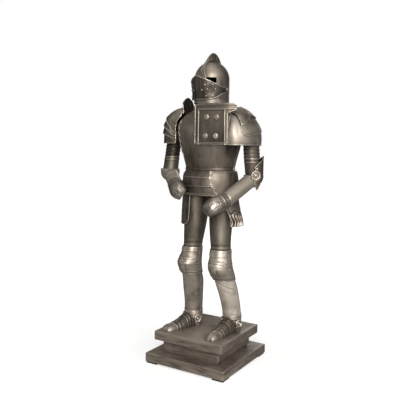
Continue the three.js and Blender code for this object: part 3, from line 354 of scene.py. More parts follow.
def wear_and_shade(outer, worked, loop, edge):
    """How rubbed bright each point is, and how dark with patina and painted shade, from its nearness to an
    edge and its relief.
    """
    def from_ends(axis):
        run = np.cumsum(np.linalg.norm(np.gradient(outer, axis=axis), axis=2), axis=axis)
        return np.minimum(run - run.take([0], axis), run.take([-1], axis) - run)

    near = from_ends(0) if loop else np.minimum(from_ends(0), from_ends(1))
    curve = np.gradient(np.gradient(worked, axis=0), axis=0)
    curve = curve + (np.roll(worked, -1, 1) + np.roll(worked, 1, 1) - 2 * worked if loop
                     else np.gradient(np.gradient(worked, axis=1), axis=1))
    rub = np.clip(np.exp(-near / RUB_WIDTH) * edge + np.clip(-curve * 2.2, 0, 1), 0, 1)
    # Dark mask: patina plus painted shade, in concave relief and in a band just inside each edge.
    in_line = 0.45 * np.exp(-((near - PATINA_AND_SHADE_LINE) / RUB_WIDTH) ** 2)
    patina_and_shade = np.clip(np.clip(curve * 2.6, 0, 1) + in_line, 0, 1)
    return rub, patina_and_shade


def finish_plate(obj, material=None, node=None, body=SUIT):
    material = material or STEEL
    obj.data.materials.append(material)
    if node:
        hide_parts(node)
    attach(obj, body)


def oval(rows, z, angle):
    """Point of an oval section: angle 0 faces the front, 90 degrees the wearer's left."""
    depth = np.where(np.cos(angle) > 0, read(rows, "fore", z), read(rows, "aft", z))
    x = read(rows, "x", z) + read(rows, "side", z) * np.sin(angle)
    return xyz(x, read(rows, "y", z) - depth * np.cos(angle), z)


def tube(name, rows, low, high, across=72, along=48, **rest):
    shell(name, lambda u, v: oval(rows, mix(low, high, v), u * ROUND), across, along, loop=True, **rest)


def stud(place, direction, radius, body=SUIT):
    STUDS[body].append((place, direction, radius))


def stud_on_oval(rows, z, angle, radius, proud=0.2):
    """Rivet standing on a section's face, its direction taken from the surface."""
    a = angle * DEG
    here, beside, above = oval(rows, z, a), oval(rows, z, a + 0.01), oval(rows, z + 0.5, a)
    out = unit(np.cross(beside - here, above - here))
    stud(here + out * proud, out, radius)


# ------------------------------------------------------------------ materials


def node_in(tree, kind, inputs=None, **settings):
    """New node. Each of its inputs gets a value, or a link from the socket that is given."""
    made = tree.nodes.new(kind)
    made.location = (220 * len(tree.nodes), 0)
    for key, value in settings.items():
        setattr(made, key, value)
    for key, value in (inputs or {}).items():
        if isinstance(value, bpy.types.NodeSocket):
            tree.links.new(value, made.inputs[key])
        else:
            made.inputs[key].default_value = value
    return made


def ramp(tree, source, *stops):
    """Greys between two stops, each a position and a grey."""
    made = node_in(tree, "ShaderNodeValToRGB", {"Fac": source})
    for element, (position, grey) in zip(made.color_ramp.elements, stops):
        element.position = position
        element.color = (grey, grey, grey, 1)
    return made.outputs["Color"]


def blend_colour(tree, low, high, factor, mode="MIX"):
    low, high = [(*colour, 1) if isinstance(colour, tuple) else colour for colour in (low, high)]
    return node_in(tree, "ShaderNodeMix", {0: factor, 6: low, 7: high}, data_type="RGBA",
                   blend_type=mode).outputs[2]


def aged_metal(name, slot, base, dark, bright, rough, blotch=38, hammer=0, streak=0, metallic=0.85):
    """Antiqued metal: brown patina in blotches, patina and painted shade in recesses and inside the plates,
    rubbed bright where hands reach it.
    """
    material = bpy.data.materials.new(name)
    material.use_nodes = True
    material["slot"] = slot
    tree = material.node_tree
    tree.nodes.clear()
    place = node_in(tree, "ShaderNodeTexCoord").outputs["Object"]
    drawn = node_in(tree, "ShaderNodeMapping", {"Vector": place,
                                                "Scale": (1, 1, 1 - 0.75 * streak)}).outputs[0]

    def noise(vector, scale, detail, roughness):
        return node_in(tree, "ShaderNodeTexNoise", {"Vector": vector, "Scale": scale, "Detail": detail,
                                                    "Roughness": roughness}).outputs["Fac"]

    def wear_and_shade_mask(label):
        return node_in(tree, "ShaderNodeAttribute", attribute_name=label).outputs["Fac"]

    blotches, clouds = noise(drawn, blotch, 6, 0.62), noise(drawn, blotch * 0.32, 3, 0.5)
    colour = blend_colour(tree, dark, base, ramp(tree, blotches, (0.34, 0), (0.56, 1)))
    colour = blend_colour(tree, colour, bright, ramp(tree, clouds, (0.48, 0), (0.72, 0.8)))
    # Darkened in hollows, in a band inside each edge and inside the plates: patina plus painted shade.
    colour = blend_colour(tree, colour, dark, wear_and_shade_mask("patina_and_shade"))
    colour = blend_colour(tree, colour, bright, wear_and_shade_mask("rub"))
    speckle = ramp(tree, noise(place, 900, 2, 0.5), (0.3, 0.55), (0.7, 1))
    colour = blend_colour(tree, colour, speckle, 0.35, "MULTIPLY")
    roughness = node_in(tree, "ShaderNodeMapRange", {"Value": blotches, "To Min": rough + 0.16,
                                                     "To Max": rough - 0.08}).outputs[0]
    normal = node_in(tree, "ShaderNodeBump", {"Strength": 0.35, "Distance": 0.35 * MM,
                                              "Height": blotches}).outputs[0]
    if hammer:
        cells = node_in(tree, "ShaderNodeTexVoronoi", {"Scale": 190, "Vector": place}).outputs["Distance"]
        normal = node_in(tree, "ShaderNodeBump", {"Strength": hammer, "Distance": 0.9 * MM, "Height": cells,
                                                  "Normal": normal}).outputs[0]
    shader = node_in(tree, "ShaderNodeBsdfPrincipled", {"Metallic": metallic, "Base Color": colour,
                                                        "Roughness": roughness, "Normal": normal})
    node_in(tree, "ShaderNodeOutputMaterial", {"Surface": shader.outputs[0]})
    return material


STEEL = aged_metal("aged steel", "plate", (0.17, 0.145, 0.118), (0.045, 0.036, 0.029), (0.43, 0.38, 0.32),
                   0.46, streak=0.9)
# Darker copy of the steel, painting shade: the haute-piece's shaded inner face and the right sleeve under its
# pauldron.
SHADED_STEEL = aged_metal("shaded dark steel", "dark_plate", (0.15, 0.128, 0.106), (0.045, 0.036, 0.029),
                  (0.33, 0.295, 0.25), 0.45)
VISOR_STEEL = aged_metal("visor steel", "dark_plate", (0.08, 0.068, 0.055), (0.024, 0.02, 0.016),
                         (0.24, 0.21, 0.175), 0.44)
# Lighter copy of the steel, painting light: the left pauldron's plates are made lighter than the right
# pauldron's.
LIT_SHOULDER_STEEL = aged_metal("lit shoulder steel", "plate", (0.25, 0.217, 0.18), (0.085, 0.07, 0.056),
                            (0.50, 0.45, 0.385), 0.5)
# Lighter copy of the steel, painting light on the left sleeve; the right sleeve takes the darker copy as
# painted shade.
LIT_SLEEVE_STEEL = aged_metal("lit ribbed sleeve steel", "dark_plate", (0.34, 0.295, 0.245), (0.10, 0.083, 0.067),
                          (0.62, 0.56, 0.48), 0.42, metallic=0.6)
# Lighter copy of the steel, a painted highlight on both vambraces and the left greave.
PAINTED_LIT_STEEL = aged_metal("lit pale steel", "bright_plate", (0.62, 0.56, 0.48), (0.31, 0.27, 0.225), (0.82, 0.76, 0.67),
                  0.46, metallic=0.6)
MATTE = aged_metal("matte steel", "plate", (0.33, 0.29, 0.243), (0.13, 0.108, 0.088), (0.56, 0.51, 0.44),
                   0.52)
BRIGHT = aged_metal("rubbed steel", "bright_plate", (0.42, 0.373, 0.315), (0.16, 0.135, 0.11),
                    (0.70, 0.64, 0.56), 0.43)
HAMMERED = aged_metal("hammered steel", "dark_plate", (0.26, 0.23, 0.195), (0.08, 0.066, 0.054),
                      (0.50, 0.455, 0.40), 0.4, hammer=0.7)
WIRE = aged_metal("rolled wire edge", "plate", (0.36, 0.33, 0.285), (0.15, 0.13, 0.108),
                  (0.56, 0.52, 0.455), 0.34)
PAINT = aged_metal("bronze paint", "pedestal", (0.215, 0.178, 0.145), (0.085, 0.068, 0.055),
                   (0.36, 0.31, 0.26), 0.44, blotch=30, metallic=0.5, streak=-9)
FELT = aged_metal("black felt", "felt", (0.012, 0.012, 0.012), (0.006, 0.006, 0.006), (0.02, 0.02, 0.02),
                  0.9, metallic=0)

# ------------------------------------------------------------------ pedestal

BOARD_CELLS = 22
EASE = 1.12     # how early a board's faces start to bend over its edges


def slab(name, node, half, low, high, bevel, seed):
    """Board with eased edges and slightly uneven painted faces."""
    side = np.linspace(-1, 1, BOARD_CELLS + 1)
    points, faces, index = [], [], {}
    for axis in range(3):
        for end in (-1, 1):
            for i, j in np.ndindex(BOARD_CELLS, BOARD_CELLS):
                face = []
                for a, b in ((i, j), (i + 1, j), (i + 1, j + 1), (i, j + 1)):
                    p = np.zeros(3)
                    p[axis], p[(axis + 1) % 3], p[(axis + 2) % 3] = end, side[a], side[b]
                    key = tuple(np.round(p, 5))
                    if key not in index:
                        index[key] = len(points)
                        points.append(p)
                    face.append(index[key])
                faces.append(face[::end])
    cube = np.array(points)
    core = np.array([half - bevel, half - bevel, (high - low) / 2 - bevel])
    over = (cube - np.clip(cube, -1 / EASE, 1 / EASE)) * 9.3
    over = np.where(np.abs(cube) > 0.999, np.sign(cube), over)
    out = over / np.maximum(np.linalg.norm(over, axis=1, keepdims=True), 1e-9)
    place = np.clip(cube * EASE, -1, 1) * core + out * bevel
    place[:, 2] += (low + high) / 2
    place += wander(place, 60, seed, 0.16)[:, None] * out
    rub = smooth((np.sort(np.abs(cube), axis=1)[:, 1] - 0.86) / 0.14) * 0.55
    finish_plate(object_from(name, place, faces, rub), PAINT, node)


# ------------------------------------------------------------------ legs


def build_knee(side, sign):
    """Knee cop: a domed cup with a lame below it, and bright narrow lames above."""
    rim, top, *lames = KNEE_EDGES[side]
    low, high = ends(KNEE[side])

    def facing(u):
        return smooth((np.cos(u * ROUND) + 0.35) / 0.9)

    def cup_relief(u, v, x, y, z):
        crease = 0.7 * bump(np.cos(u * ROUND), 1, 0.03) * bump(z, 196, 14)
        return (1.1 * smooth((z - rim) / 1.2) + crease + 0.5 * bump(z, rim + 2, 2)) * facing(u)

    def lame_relief(u, v, x, y, z):
        fold = 0.4 * bump(z, lames[1] - 4 + 1.5 * np.sin(u * 40), 1.6)
        return 0.3 + (hanging_steps(z, (top - 0.4, *lames), 1.3, 13) + fold) * facing(u)

    tube(f"poleyn_cup_{side}", KNEE[side], low, top, 96, 60, node=f"poleyn_{side}", material=MATTE,
         relief=cup_relief, rims="b", wire=0.6, seed=23 + sign)
    tube(f"poleyn_lames_{side}", KNEE[side], top - 0.4, high, 96, 60, material=BRIGHT, relief=lame_relief,
         rims="t", wire=0.6, seed=28 + sign)


def build_leg(side):
    sign = SIGN[side]
    outer_side = 180 - 90 * sign

    def thigh_relief(u, v, x, y, z):
        return -0.45 * bump(u * 360, outer_side, 4) + 0.35 * bump(z, 243, 2.5) - 0.3 * bump(z, 248, 3)

    def shin_relief(u, v, x, y, z):
        angle = u * 360
        seams = -0.9 * (bump(angle, 84, 3) + bump(angle, 276, 3))
        keel = 0.5 * np.maximum(bump(angle, 0, 40), bump(angle, 360, 40)) * smooth((top - z) / 25)
        creases = 0
        if side == "left":
            high_turn, low_turn = (angle - 20) * DEG, (angle - 40) * DEG
            creases = -0.8 * (bump(z + 10 * np.sin(high_turn), 164, 2.6) * smooth(np.cos(high_turn) + 0.3)
                              + bump(z + 9 * np.sin(low_turn), 148, 2.2) * smooth(np.cos(high_turn) - 0.5))
        return seams + keel + creases + 0.8 * smooth((100 - z) / 5)

    tube(f"cuisse_plate_{side}", THIGH[side], *ends(THIGH[side]), node=f"cuisse_{side}",
         relief=thigh_relief, rims="b", wire=0.6, seed=20 + sign)
    build_knee(side, sign)
    low, top = ends(SHIN[side])
    # The left greave's lighter copy of the steel is a painted highlight; the right greave keeps the matte
    # steel.
    tube(f"greave_plate_{side}", SHIN[side], low, top, 84, 64, node=f"greave_{side}",
         material=PAINTED_LIT_STEEL if side == "left" else MATTE, relief=shin_relief, rims="b", wire=0.8, seed=26 + sign,
         dents=0.3)
    build_foot(side, sign)


def build_foot(side, sign):
    x, y, turn = FOOT_PLACE[side]
    place = Matrix.Translation((x, y, SLAB_TOP + GAP)) @ Matrix.Rotation(turn * DEG, 4, "Z")
    cup_side, behind = ANKLE_CUP["side"], ANKLE_CUP["behind"]

    def vault(rows, ahead=0):
        low, high = ends(rows)

        def at(u, v):
            forward, angle = mix(low, high, v), mix(-90, 90, u) * DEG
            x = read(rows, "half", forward) * np.sign(angle) * np.abs(np.sin(angle)) ** 0.8
            z = read(rows, "height", forward) * np.maximum(np.cos(angle), 0) ** 0.8
            forward = np.where(forward > 0, forward * FOOT_LENGTH[side], forward) + ahead
            return moved(xyz(x, -forward, z), place)
        return at

    def lame_relief(u, v, x, y, z):
        forward = mix(*ends(FOOT), v)
        crease = 0.5 * bump(forward + 3 * np.abs(u - 0.5), 40, 1.6)
        ridge = 0.8 * bump(u, 0.5, 0.05) * smooth((forward - 30) / 12)
        return steps(forward, SABATON_LAMES, 0.8, 8) + crease + ridge

    def toe_relief(u, v, x, y, z):
        return 1.1 * bump(u, 0.5, 0.07) * (1 - v * 0.6) + 0.4 * bump(v, 0.06, 0.06)

    def cup(u, v):
        angle = u * ROUND
        depth = np.where(np.cos(angle) > 0, ANKLE_CUP["fore"], ANKLE_CUP["aft"])
        z = mix(0.2, ANKLE_CUP["height"], v)
        return moved(xyz(cup_side * np.sin(angle), behind - depth * np.cos(angle), z), place)

    def cup_relief(u, v, x, y, z):
        return hanging_steps(v, (0.78, 0.5, 0.22), 1.3, 0.26) * smooth(np.cos(u * ROUND) + 0.6)

    shell(f"sabaton_vault_{side}", vault(FOOT), 48, 86, node=f"sabaton_{side}", hand=-1,
          relief=lame_relief, seed=30 + sign)
    shell(f"toe_cap_plate_{side}", vault(TOE, GAP), 48, 54, node=f"toe_cap_{side}", material=BRIGHT, hand=-1,
          relief=toe_relief, rims="b", wire=0.5, seed=33 + sign)
    shell(f"ankle_lames_{side}", cup, 72, 36, material=BRIGHT, loop=True, relief=cup_relief, rims="t",
          wire=0.6, seed=36 + sign)
    turn = ANKLE_DISC["forward"] * DEG
    for label, way in (("inner", -sign), ("outer", sign)):
        out = np.array([way * math.cos(turn), -math.sin(turn), 0])
        middle = np.array([0, behind, ANKLE_DISC["up"]]) + out * (cup_side + 2 * GAP)
        centre = moved(middle, place)
        rosette(f"ankle_rosette_{label}_{side}", centre, moved(middle + out, place) - centre,
                ANKLE_DISC["radius"], ANKLE_DISC["height"], f"ankle_disc_{label}_{side}")


def turned(name, profile, centre, direction, node=None, material=None, segments=40):
    """Lathe-turned piece: profile of (radius, height) from the axis at its foot to the axis at its top."""
    centre, direction = np.asarray(centre), unit(direction)
    across = unit(np.cross(direction, (0, 0, 1.0) if abs(direction[2]) < 0.9 else (1.0, 0, 0)))
    other = np.cross(direction, across)
    turn = ROUND * np.arange(segments)[:, None] / segments
    around = across * np.cos(turn) + other * np.sin(turn)
    rings = [centre + direction * height + radius * around for radius, height in profile[1:-1]]
    points = np.vstack([centre + direction * profile[0][1], *rings, centre + direction * profile[-1][1]])
    last = 1 + (len(rings) - 1) * segments
    faces = []
    for k in range(segments):
        n = (k + 1) % segments
        faces.append((0, 1 + n, 1 + k))
        faces.extend((a + k, a + n, a + segments + n, a + segments + k) for a in range(1, last, segments))
        faces.append((last + k, last + n, len(points) - 1))
    heights = np.repeat([height for _, height in profile], [1] + [segments] * len(rings) + [1])
    rub = np.where(heights > heights.max() * 0.8, 0.9, 0.1)
    # Parts below 0.55 of the piece's height are darkened: patina plus painted shade in its dish and round its
    # foot.
    patina_and_shade = np.where(heights > heights.max() * 0.55, 0, 0.8)
    finish_plate(object_from(name, points, faces, rub, patina_and_shade), material, node)


def rosette(name, centre, direction, radius, height, node):
    """Round pivot cover: a dished disc with a raised ring and a domed rivet at its middle."""
    profile = [(0, 0), (radius, 0), (radius, 0.45), (radius - 0.7, 0.95), (radius - 1.7, 1),
               (radius - 2.6, 0.8), (radius - 3.2, 0.35), (2.9, 0.3), (2.7, 0.7), (1.9, 1), (0.9, 1.1),
               (0, 1.12)]
    turned(name, [(r, share * height) for r, share in profile], centre, direction, node, BRIGHT)


# ------------------------------------------------------------------ torso


def armhole_angle(z):
    open_share = smooth((z - ARMHOLE["bottom"]) / (ARMHOLE["top"] - ARMHOLE["bottom"]))
    return mix(ARMHOLE["seam"], ARMHOLE["widest"], open_share)


def section_sheet(rows, angle_at):
    """Sheet bent to a table's ovals; angle_at(u, z) gives the angle in degrees at each height."""
    def at(u, v):
        z = mix(*ends(rows), v)
        return oval(rows, z, angle_at(u, z) * DEG)
    return at


def build_torso():
    def breast_relief(u, v, x, y, z):
        keel = 1.6 * bump(u, 0.5, 0.16) * smooth((z - 402) / 20) * smooth((500 - z) / 30)
        roped = 0.35 * np.sin(z * 2.1) * smooth(1 - np.minimum(u, 1 - u) / 0.02) * smooth((z - 452) / 6)
        return keel + roped - 0.3 * bump(z, 404, 5)

    def back_relief(u, v, x, y, z):
        spine = -1.4 * bump(u, 0.5, 0.05) * smooth((z - 405) / 30)
        blades = 1.4 * (bump(u, 0.3, 0.14) + bump(u, 0.7, 0.14)) * bump(z, 485, 34)
        return spine + blades - 0.8 * bump(z, 404, 3.4)

    def collar_relief(u, v, x, y, z):
        return 0.5 * bump(z, 523, 2) + 0.4 * bump(z, 516, 1.6)

    shell("breast_plate_front", section_sheet(TORSO, lambda u, z: mix(-1, 1, u) * armhole_angle(z)), 120, 110,
          node="breastplate", relief=breast_relief, rims="tlr", wire=0.8, seed=1, edge=0.05)
    shell("back_plate", section_sheet(TORSO, lambda u, z: 180 + mix(-1, 1, u) * armhole_angle(z)), 110, 100,
          node="backplate", relief=back_relief, rims="tlr", wire=0.8, seed=2, edge=0.05)
    tube("gorget_collar", COLLAR, *ends(COLLAR), 96, 40, node="gorget", relief=collar_relief,
         rims="b", wire=0.7, seed=3)
    wavy_cord(TORSO, 428, 498, lambda z: -51, 2.4, 13, 1.1)


def wavy_cord(rows, low, high, angle_at, swing, pitch, wire, lift=0.5):
    """Twisted cord laid along a plate's edge, swinging from side to side."""
    z = np.linspace(low, high, 90)
    angle = angle_at(z) + swing * (2 * np.abs((z / pitch) % 1 - 0.5) * 2 - 1)
    line = oval(rows, z, angle * DEG)
    out = unit(line - xyz(read(rows, "x", z), read(rows, "y", z), z))
    RIMS[SUIT].append((line + out * lift, False, wire))


def build_reinforce():
    """Square plate bolted on the breast: a turned-out top, a raised frame and four round bosses."""
    r = REINFORCE

    def face(u, v):
        z = mix(r["bottom"], r["top"], v)
        right = mix(r["x1"], r["flange_x1"], smooth((z - r["flange_from"]) / 10))
        above = np.maximum(0, z - (r["top"] - r["corner"]))
        bite = r["corner"] - np.sqrt(np.maximum(0, r["corner"] ** 2 - above ** 2))
        x = mix(r["x0"] + bite, right - bite, u)
        return xyz(x, r["y"] + 0.012 * np.maximum(0, x - 58) ** 2, z)

    def relief(u, v, x, y, z):
        right = 64 + 0.03 * np.maximum(0, 500 - z)
        below_top = smooth((519 - z) / 3)
        frame_bars = (0.9 * bump(z, 517, 2.2) * smooth((x - 4) / 3), 0.9 * bump(x, 6.4, 2) * below_top,
                      0.9 * bump(x, right, 2) * below_top, 0.7 * bump(z, 453.4, 2))
        field = -0.5 * smooth((x - 7) / 2) * smooth((right - x) / 2) * smooth((516 - z) / 2)
        return np.maximum.reduce(frame_bars) + field - 0.5 * bump(z, 522, 3.5)

    shell("square_breast_reinforce", face, 110, 110, node="reinforce_plate", relief=relief,
          wall=r["wall"], rims="btlr", seed=4)
    h = BOSS_HEAD
    profile = [(0, 0), (h, 0), (h, 0.7), (h - 0.8, 1.3), (h - 1.8, 1.2), (h - 2.2, 1.0), (h - 2.5, 1.9),
               (2.4, 2.4), (1.2, 2.6), (0, 2.65)]
    for n, (x, z) in enumerate(BOSSES, 1):
        turned(f"reinforce_boss_head_{n}", profile, (x, r["y"] - 0.1, z), (0, -1, 0), None, BRIGHT)


def tasset_edge(z):
    return mix(62, 25, smooth((z - 300) / 84))


def build_skirt():
    foot, corner = ends(TASSET_RIGHT)[0], 16

    def skirt_relief(u, v, x, y, z):
        return hanging_steps(z, SKIRT_LAMES, 0.9, 12)

    def right_angle(u, z):
        inset = corner - np.sqrt(np.maximum(0, corner ** 2 - np.maximum(0, foot + corner - z) ** 2))
        return mix(-102 + inset, -22 - inset, u)

    def left_relief(u, v, x, y, z):
        scallop = 1.3 * np.abs(np.sin(z / 5.2)) * smooth(1 - u / 0.1) * smooth((z - 316) / 6)
        ruffle = 2.6 * np.sin(u * 44 + 0.9 * np.sin(z / 3)) * smooth((318 - z) / 22)
        return scallop + ruffle - bump(z + 3 * np.sin(u * 14), 317, 3)

    for name, node, start, end, across, seed in (("fauld_front_lames", "fauld", -89.7, 89.7, 110, 5),
                                                 ("culet_rear_lames", "culet", 90, 270, 100, 6)):
        shell(name, section_sheet(SKIRT, lambda u, z: mix(start, end, u)), across, 70, node=node,
              relief=skirt_relief, rims="b", seed=seed)
    shell("tasset_plate_right", section_sheet(TASSET_RIGHT, right_angle), 60, 70, node="tasset_right",
          rims="blr", wire=1.1, seed=7, relief=lambda u, v, x, y, z: 0.5 * bump(u, 0.5, 0.1))
    wavy_cord(TASSET_LEFT, 330, 397, lambda z: tasset_edge(z) + 2.5, 2.2, 11, 1)
    shell("tasset_plate_left", section_sheet(TASSET_LEFT, lambda u, z: mix(tasset_edge(z), 118, u)), 110, 110,
          node="tasset_left", relief=left_relief, rims="lrb", seed=8)


# ------------------------------------------------------------------ head


def build_head():
    """Skull: a wall with two sight slots under a dome, whose pole is closed by a small button."""
    radius, neck, dome = HEAD["radius"], HEAD["neck"], HEAD["dome"]
    # heights of the rings, with rows at the slots' edges, then the dome's rings by angle
    wall_rows = np.concatenate([neck + np.linspace(0, 1, 25) * (dome - neck), [SLOT["bottom"]]])
    wall_rows = np.unique(wall_rows)[:-1]
    slot_angle = math.degrees(math.asin((SLOT["top"] - dome) / radius))
    turn = np.unique(np.concatenate([np.linspace(0, DOME_END, 45), [slot_angle]])) * DEG
    ring_radius = np.concatenate([np.full(len(wall_rows), radius), radius * np.cos(turn)])
    ring_height = np.concatenate([wall_rows, dome + radius * np.sin(turn)])
    last = len(ring_radius) - 1

    def at(u, v):
        i = np.rint(v * last).astype(int)
        r, angle = ring_radius[i], u * ROUND
        return moved(xyz(r * np.sin(angle), -r * np.cos(angle), ring_height[i]), HEAD_PLACE)

    def slots(u, v):
        angle = np.abs((u * 360 + 180) % 360 - 180)
        z = np.interp(v * last, np.arange(last + 1), ring_height)
        return (angle > SLOT["near"]) & (angle < SLOT["far"]) & (z > SLOT["bottom"]) & (z < SLOT["top"])

    def skull_relief(u, v, x, y, z):
        x, y, z = np.moveaxis(moved(xyz(x, y, z), HEAD_PLACE.inverted()), -1, 0)
        brow = np.abs(x) - mix(3.6, 14, (608 - z) / 26)
        front = smooth(-y / 6) * smooth((z - 574) / 3)
        plate = 0.3 * (smooth(0.5 - brow / 3) - bump(brow, 1.4, 1.4) - bump(brow, -3.4, 1.4))
        return plate * front + 0.3 * bump(z, neck + 3, 3)

    shell("helmet_skull_plate", at, 180, last, node="helmet_skull", loop=True, holes=slots,
          relief=skull_relief, rims="b", wire=0.8, seed=9, dents=0.1)
    pole, top = radius * math.cos(DOME_END * DEG), radius * math.sin(DOME_END * DEG) - 0.6
    button = [(0, top), (pole + 0.5, radius - 0.6), (pole + 0.4, radius - 0.02), (0, radius + 0.02)]
    turned("helmet_crown_button", button, (0, 0, dome), (0, 0, 1))


def build_comb():
    """Solid-edged fin over the skull, ribbed across; two faces meet at its foot, its edge and its ends."""
    rows, columns = 14, 120
    angle = np.linspace(*ends(COMB), columns)
    reach, foot = read(COMB, "reach", angle), HEAD["radius"] + 0.3
    tall, ribs = np.clip((reach - foot) / 12, 0, 1), np.sin(angle * 0.62)
    points, rub, patina_and_shade = [], [], []
    for hand in (1, -1):
        for t in np.arange(rows) / (rows - 1):
            r = mix(foot, np.maximum(reach, foot + 0.9), t)
            half = mix(COMB_THICKNESS["foot"], COMB_THICKNESS["edge"], t ** 0.7) / 2
            half = half * math.sqrt(np.clip(1 - max(0, t - 0.86) ** 2 * 36, 0.05, 1))
            half = half + 0.35 * tall * ribs * math.sin(math.pi * min(t * 1.15, 1))
            points.append(xyz(hand * half, -r * np.cos(angle * DEG), HEAD["dome"] + r * np.sin(angle * DEG)))
            rub.append(0.25 * tall if t > 0.9 else np.full(columns, 0.02))
            # Rib hollows and the fin's foot on the skull are darkened: patina plus painted shade.
            patina_and_shade.append(0.5 * np.clip(-ribs, 0, 1) * tall + (0.7 if t < 0.12 else 0))
    number = np.arange(2 * rows * columns).reshape(2, rows, columns)
    faces = []

    def strip(first, second):
        faces.extend(zip(first[:-1], first[1:], second[1:], second[:-1]))

    for i in range(rows - 1):
        strip(number[0, i], number[0, i + 1])
        strip(number[1, i + 1], number[1, i])
    strip(number[0, -1], number[1, -1])
    strip(number[0, 0, ::-1], number[1, 0, ::-1])
    strip(number[0, :, 0], number[1, :, 0])
    strip(number[1, :, -1], number[0, :, -1])
    points, rub, patina_and_shade = (np.concatenate(values) for values in (points, rub, patina_and_shade))
    obj = object_from("helmet_comb_fin", moved(points, HEAD_PLACE), faces, rub, patina_and_shade)
    work = bmesh.new()
    work.from_mesh(obj.data)
    bmesh.ops.remove_doubles(work, verts=work.verts, dist=1e-7)
    bmesh.ops.recalc_face_normals(work, faces=work.faces)
    work.to_mesh(obj.data)
    work.free()
    finish_plate(obj, node="helmet_comb")


def visor_point(angle, z):
    """Point of the visor's face at an angle from its front, in the head's own frame."""
    fore = mix(VISOR["chin"], VISOR["fore"], np.clip((z - VISOR["foot"]) / VISOR["height"], 0, 1))
    n, a = VISOR["squareness"], angle * DEG
    r = (np.abs(np.cos(a) / fore) ** n + np.abs(np.sin(a) / VISOR["side"]) ** n) ** (-1 / n)
    r = r + VISOR["keel"] * np.maximum(0, 1 - np.abs(angle) / 24) ** 1.5
    arm = np.maximum(0, (np.abs(angle) - 80) / 13) * 7
    return xyz(r * np.sin(a), -r * np.cos(a) + arm, z)


def build_visor():
    sweep = VISOR["sweep"]

    def at(u, v):
        angle = mix(-sweep, sweep, u)
        low, high = read(VISOR_EDGE, "bottom", np.abs(angle)), read(VISOR_EDGE, "top", np.abs(angle))
        return moved(visor_point(angle, mix(low, high, v)), HEAD_PLACE)

    def relief(u, v, x, y, z):
        angle = np.abs(mix(-sweep, sweep, u))
        hollow = -0.9 * smooth((14 - np.hypot((angle - 40) * 0.75, z - 555)) / 10)
        return hollow + 0.6 * bump(angle, 0, 5) - 0.5 * bump(angle, 9, 3) - 0.35 * bump(angle, 15, 2.5)

    shell("visor_face_plate", at, 168, 56, node="visor", material=VISOR_STEEL, relief=relief, rims="btlr",
          seed=10, body=VISOR_BODY)
    for hand in (-1, 1):
        for angle, z in VISOR_RIVETS:
            here, beside = visor_point(angle * hand, z), visor_point(angle * hand + 0.5, z)
            out = unit(np.cross(beside - here, (0, 0, 1)))
            stud(moved(here + out * 0.2, HEAD_PLACE), np.array(HEAD_PLACE)[:3, :3] @ out, 1.7, VISOR_BODY)


# ------------------------------------------------------------------ shoulders and arms


def shoulder_point(rows, sign, z, angle):
    turn = np.minimum(90, np.abs(angle)) * DEG
    past = np.maximum(0, np.abs(angle) - 90) / 90
    depth = np.where(angle < 0, -read(rows, "fore", z), read(rows, "aft", z))
    x = sign * (read(rows, "x", z) + read(rows, "side", z) * np.cos(turn) - past * read(rows, "reach", z))
    return xyz(x, read(rows, "y", z) + depth * np.sin(turn), z)


def lame(name, side, front, back, low, high, across=110, along=30, stand=LAP, tuck=3, **rest):
    """Shoulder plate between two edges, low(angle) and high(angle); its top tucks under the plate above."""
    rows, sign = SHOULDER[side], SIGN[side]

    def at(u, v):
        angle = mix(-front, back, u)
        return shoulder_point(rows, sign, mix(low(angle), high(angle), v), angle)

    def lift(u, v):
        if tuck <= 0:
            return np.full_like(u, stand)
        angle = mix(-front, back, u)
        height = high(angle) - low(angle)
        return stand * np.clip(1 - (v * height) / (height - tuck), 0, 1)

    shell(f"shoulder_{name}", at, across, along, node=f"pauldron_{name}", hand=sign, lift=lift, rims="blr",
          **rest)


def fan_edge(n):
    def edge(angle):
        ahead, behind = smooth((-angle - 15) / FAN["turn"]), smooth((angle - 15) / 95)
        front = mix(FAN["edges"][n], FAN["meet"] + n * FAN["spread"], 0 if n == 0 else ahead)
        return np.where(angle < 0, front, FAN["edges"][n] - 6 * n * behind)
    return edge


def level(z):
    return lambda angle: z + 0 * angle


def raised(edge, by):
    return lambda angle: edge(angle) + by


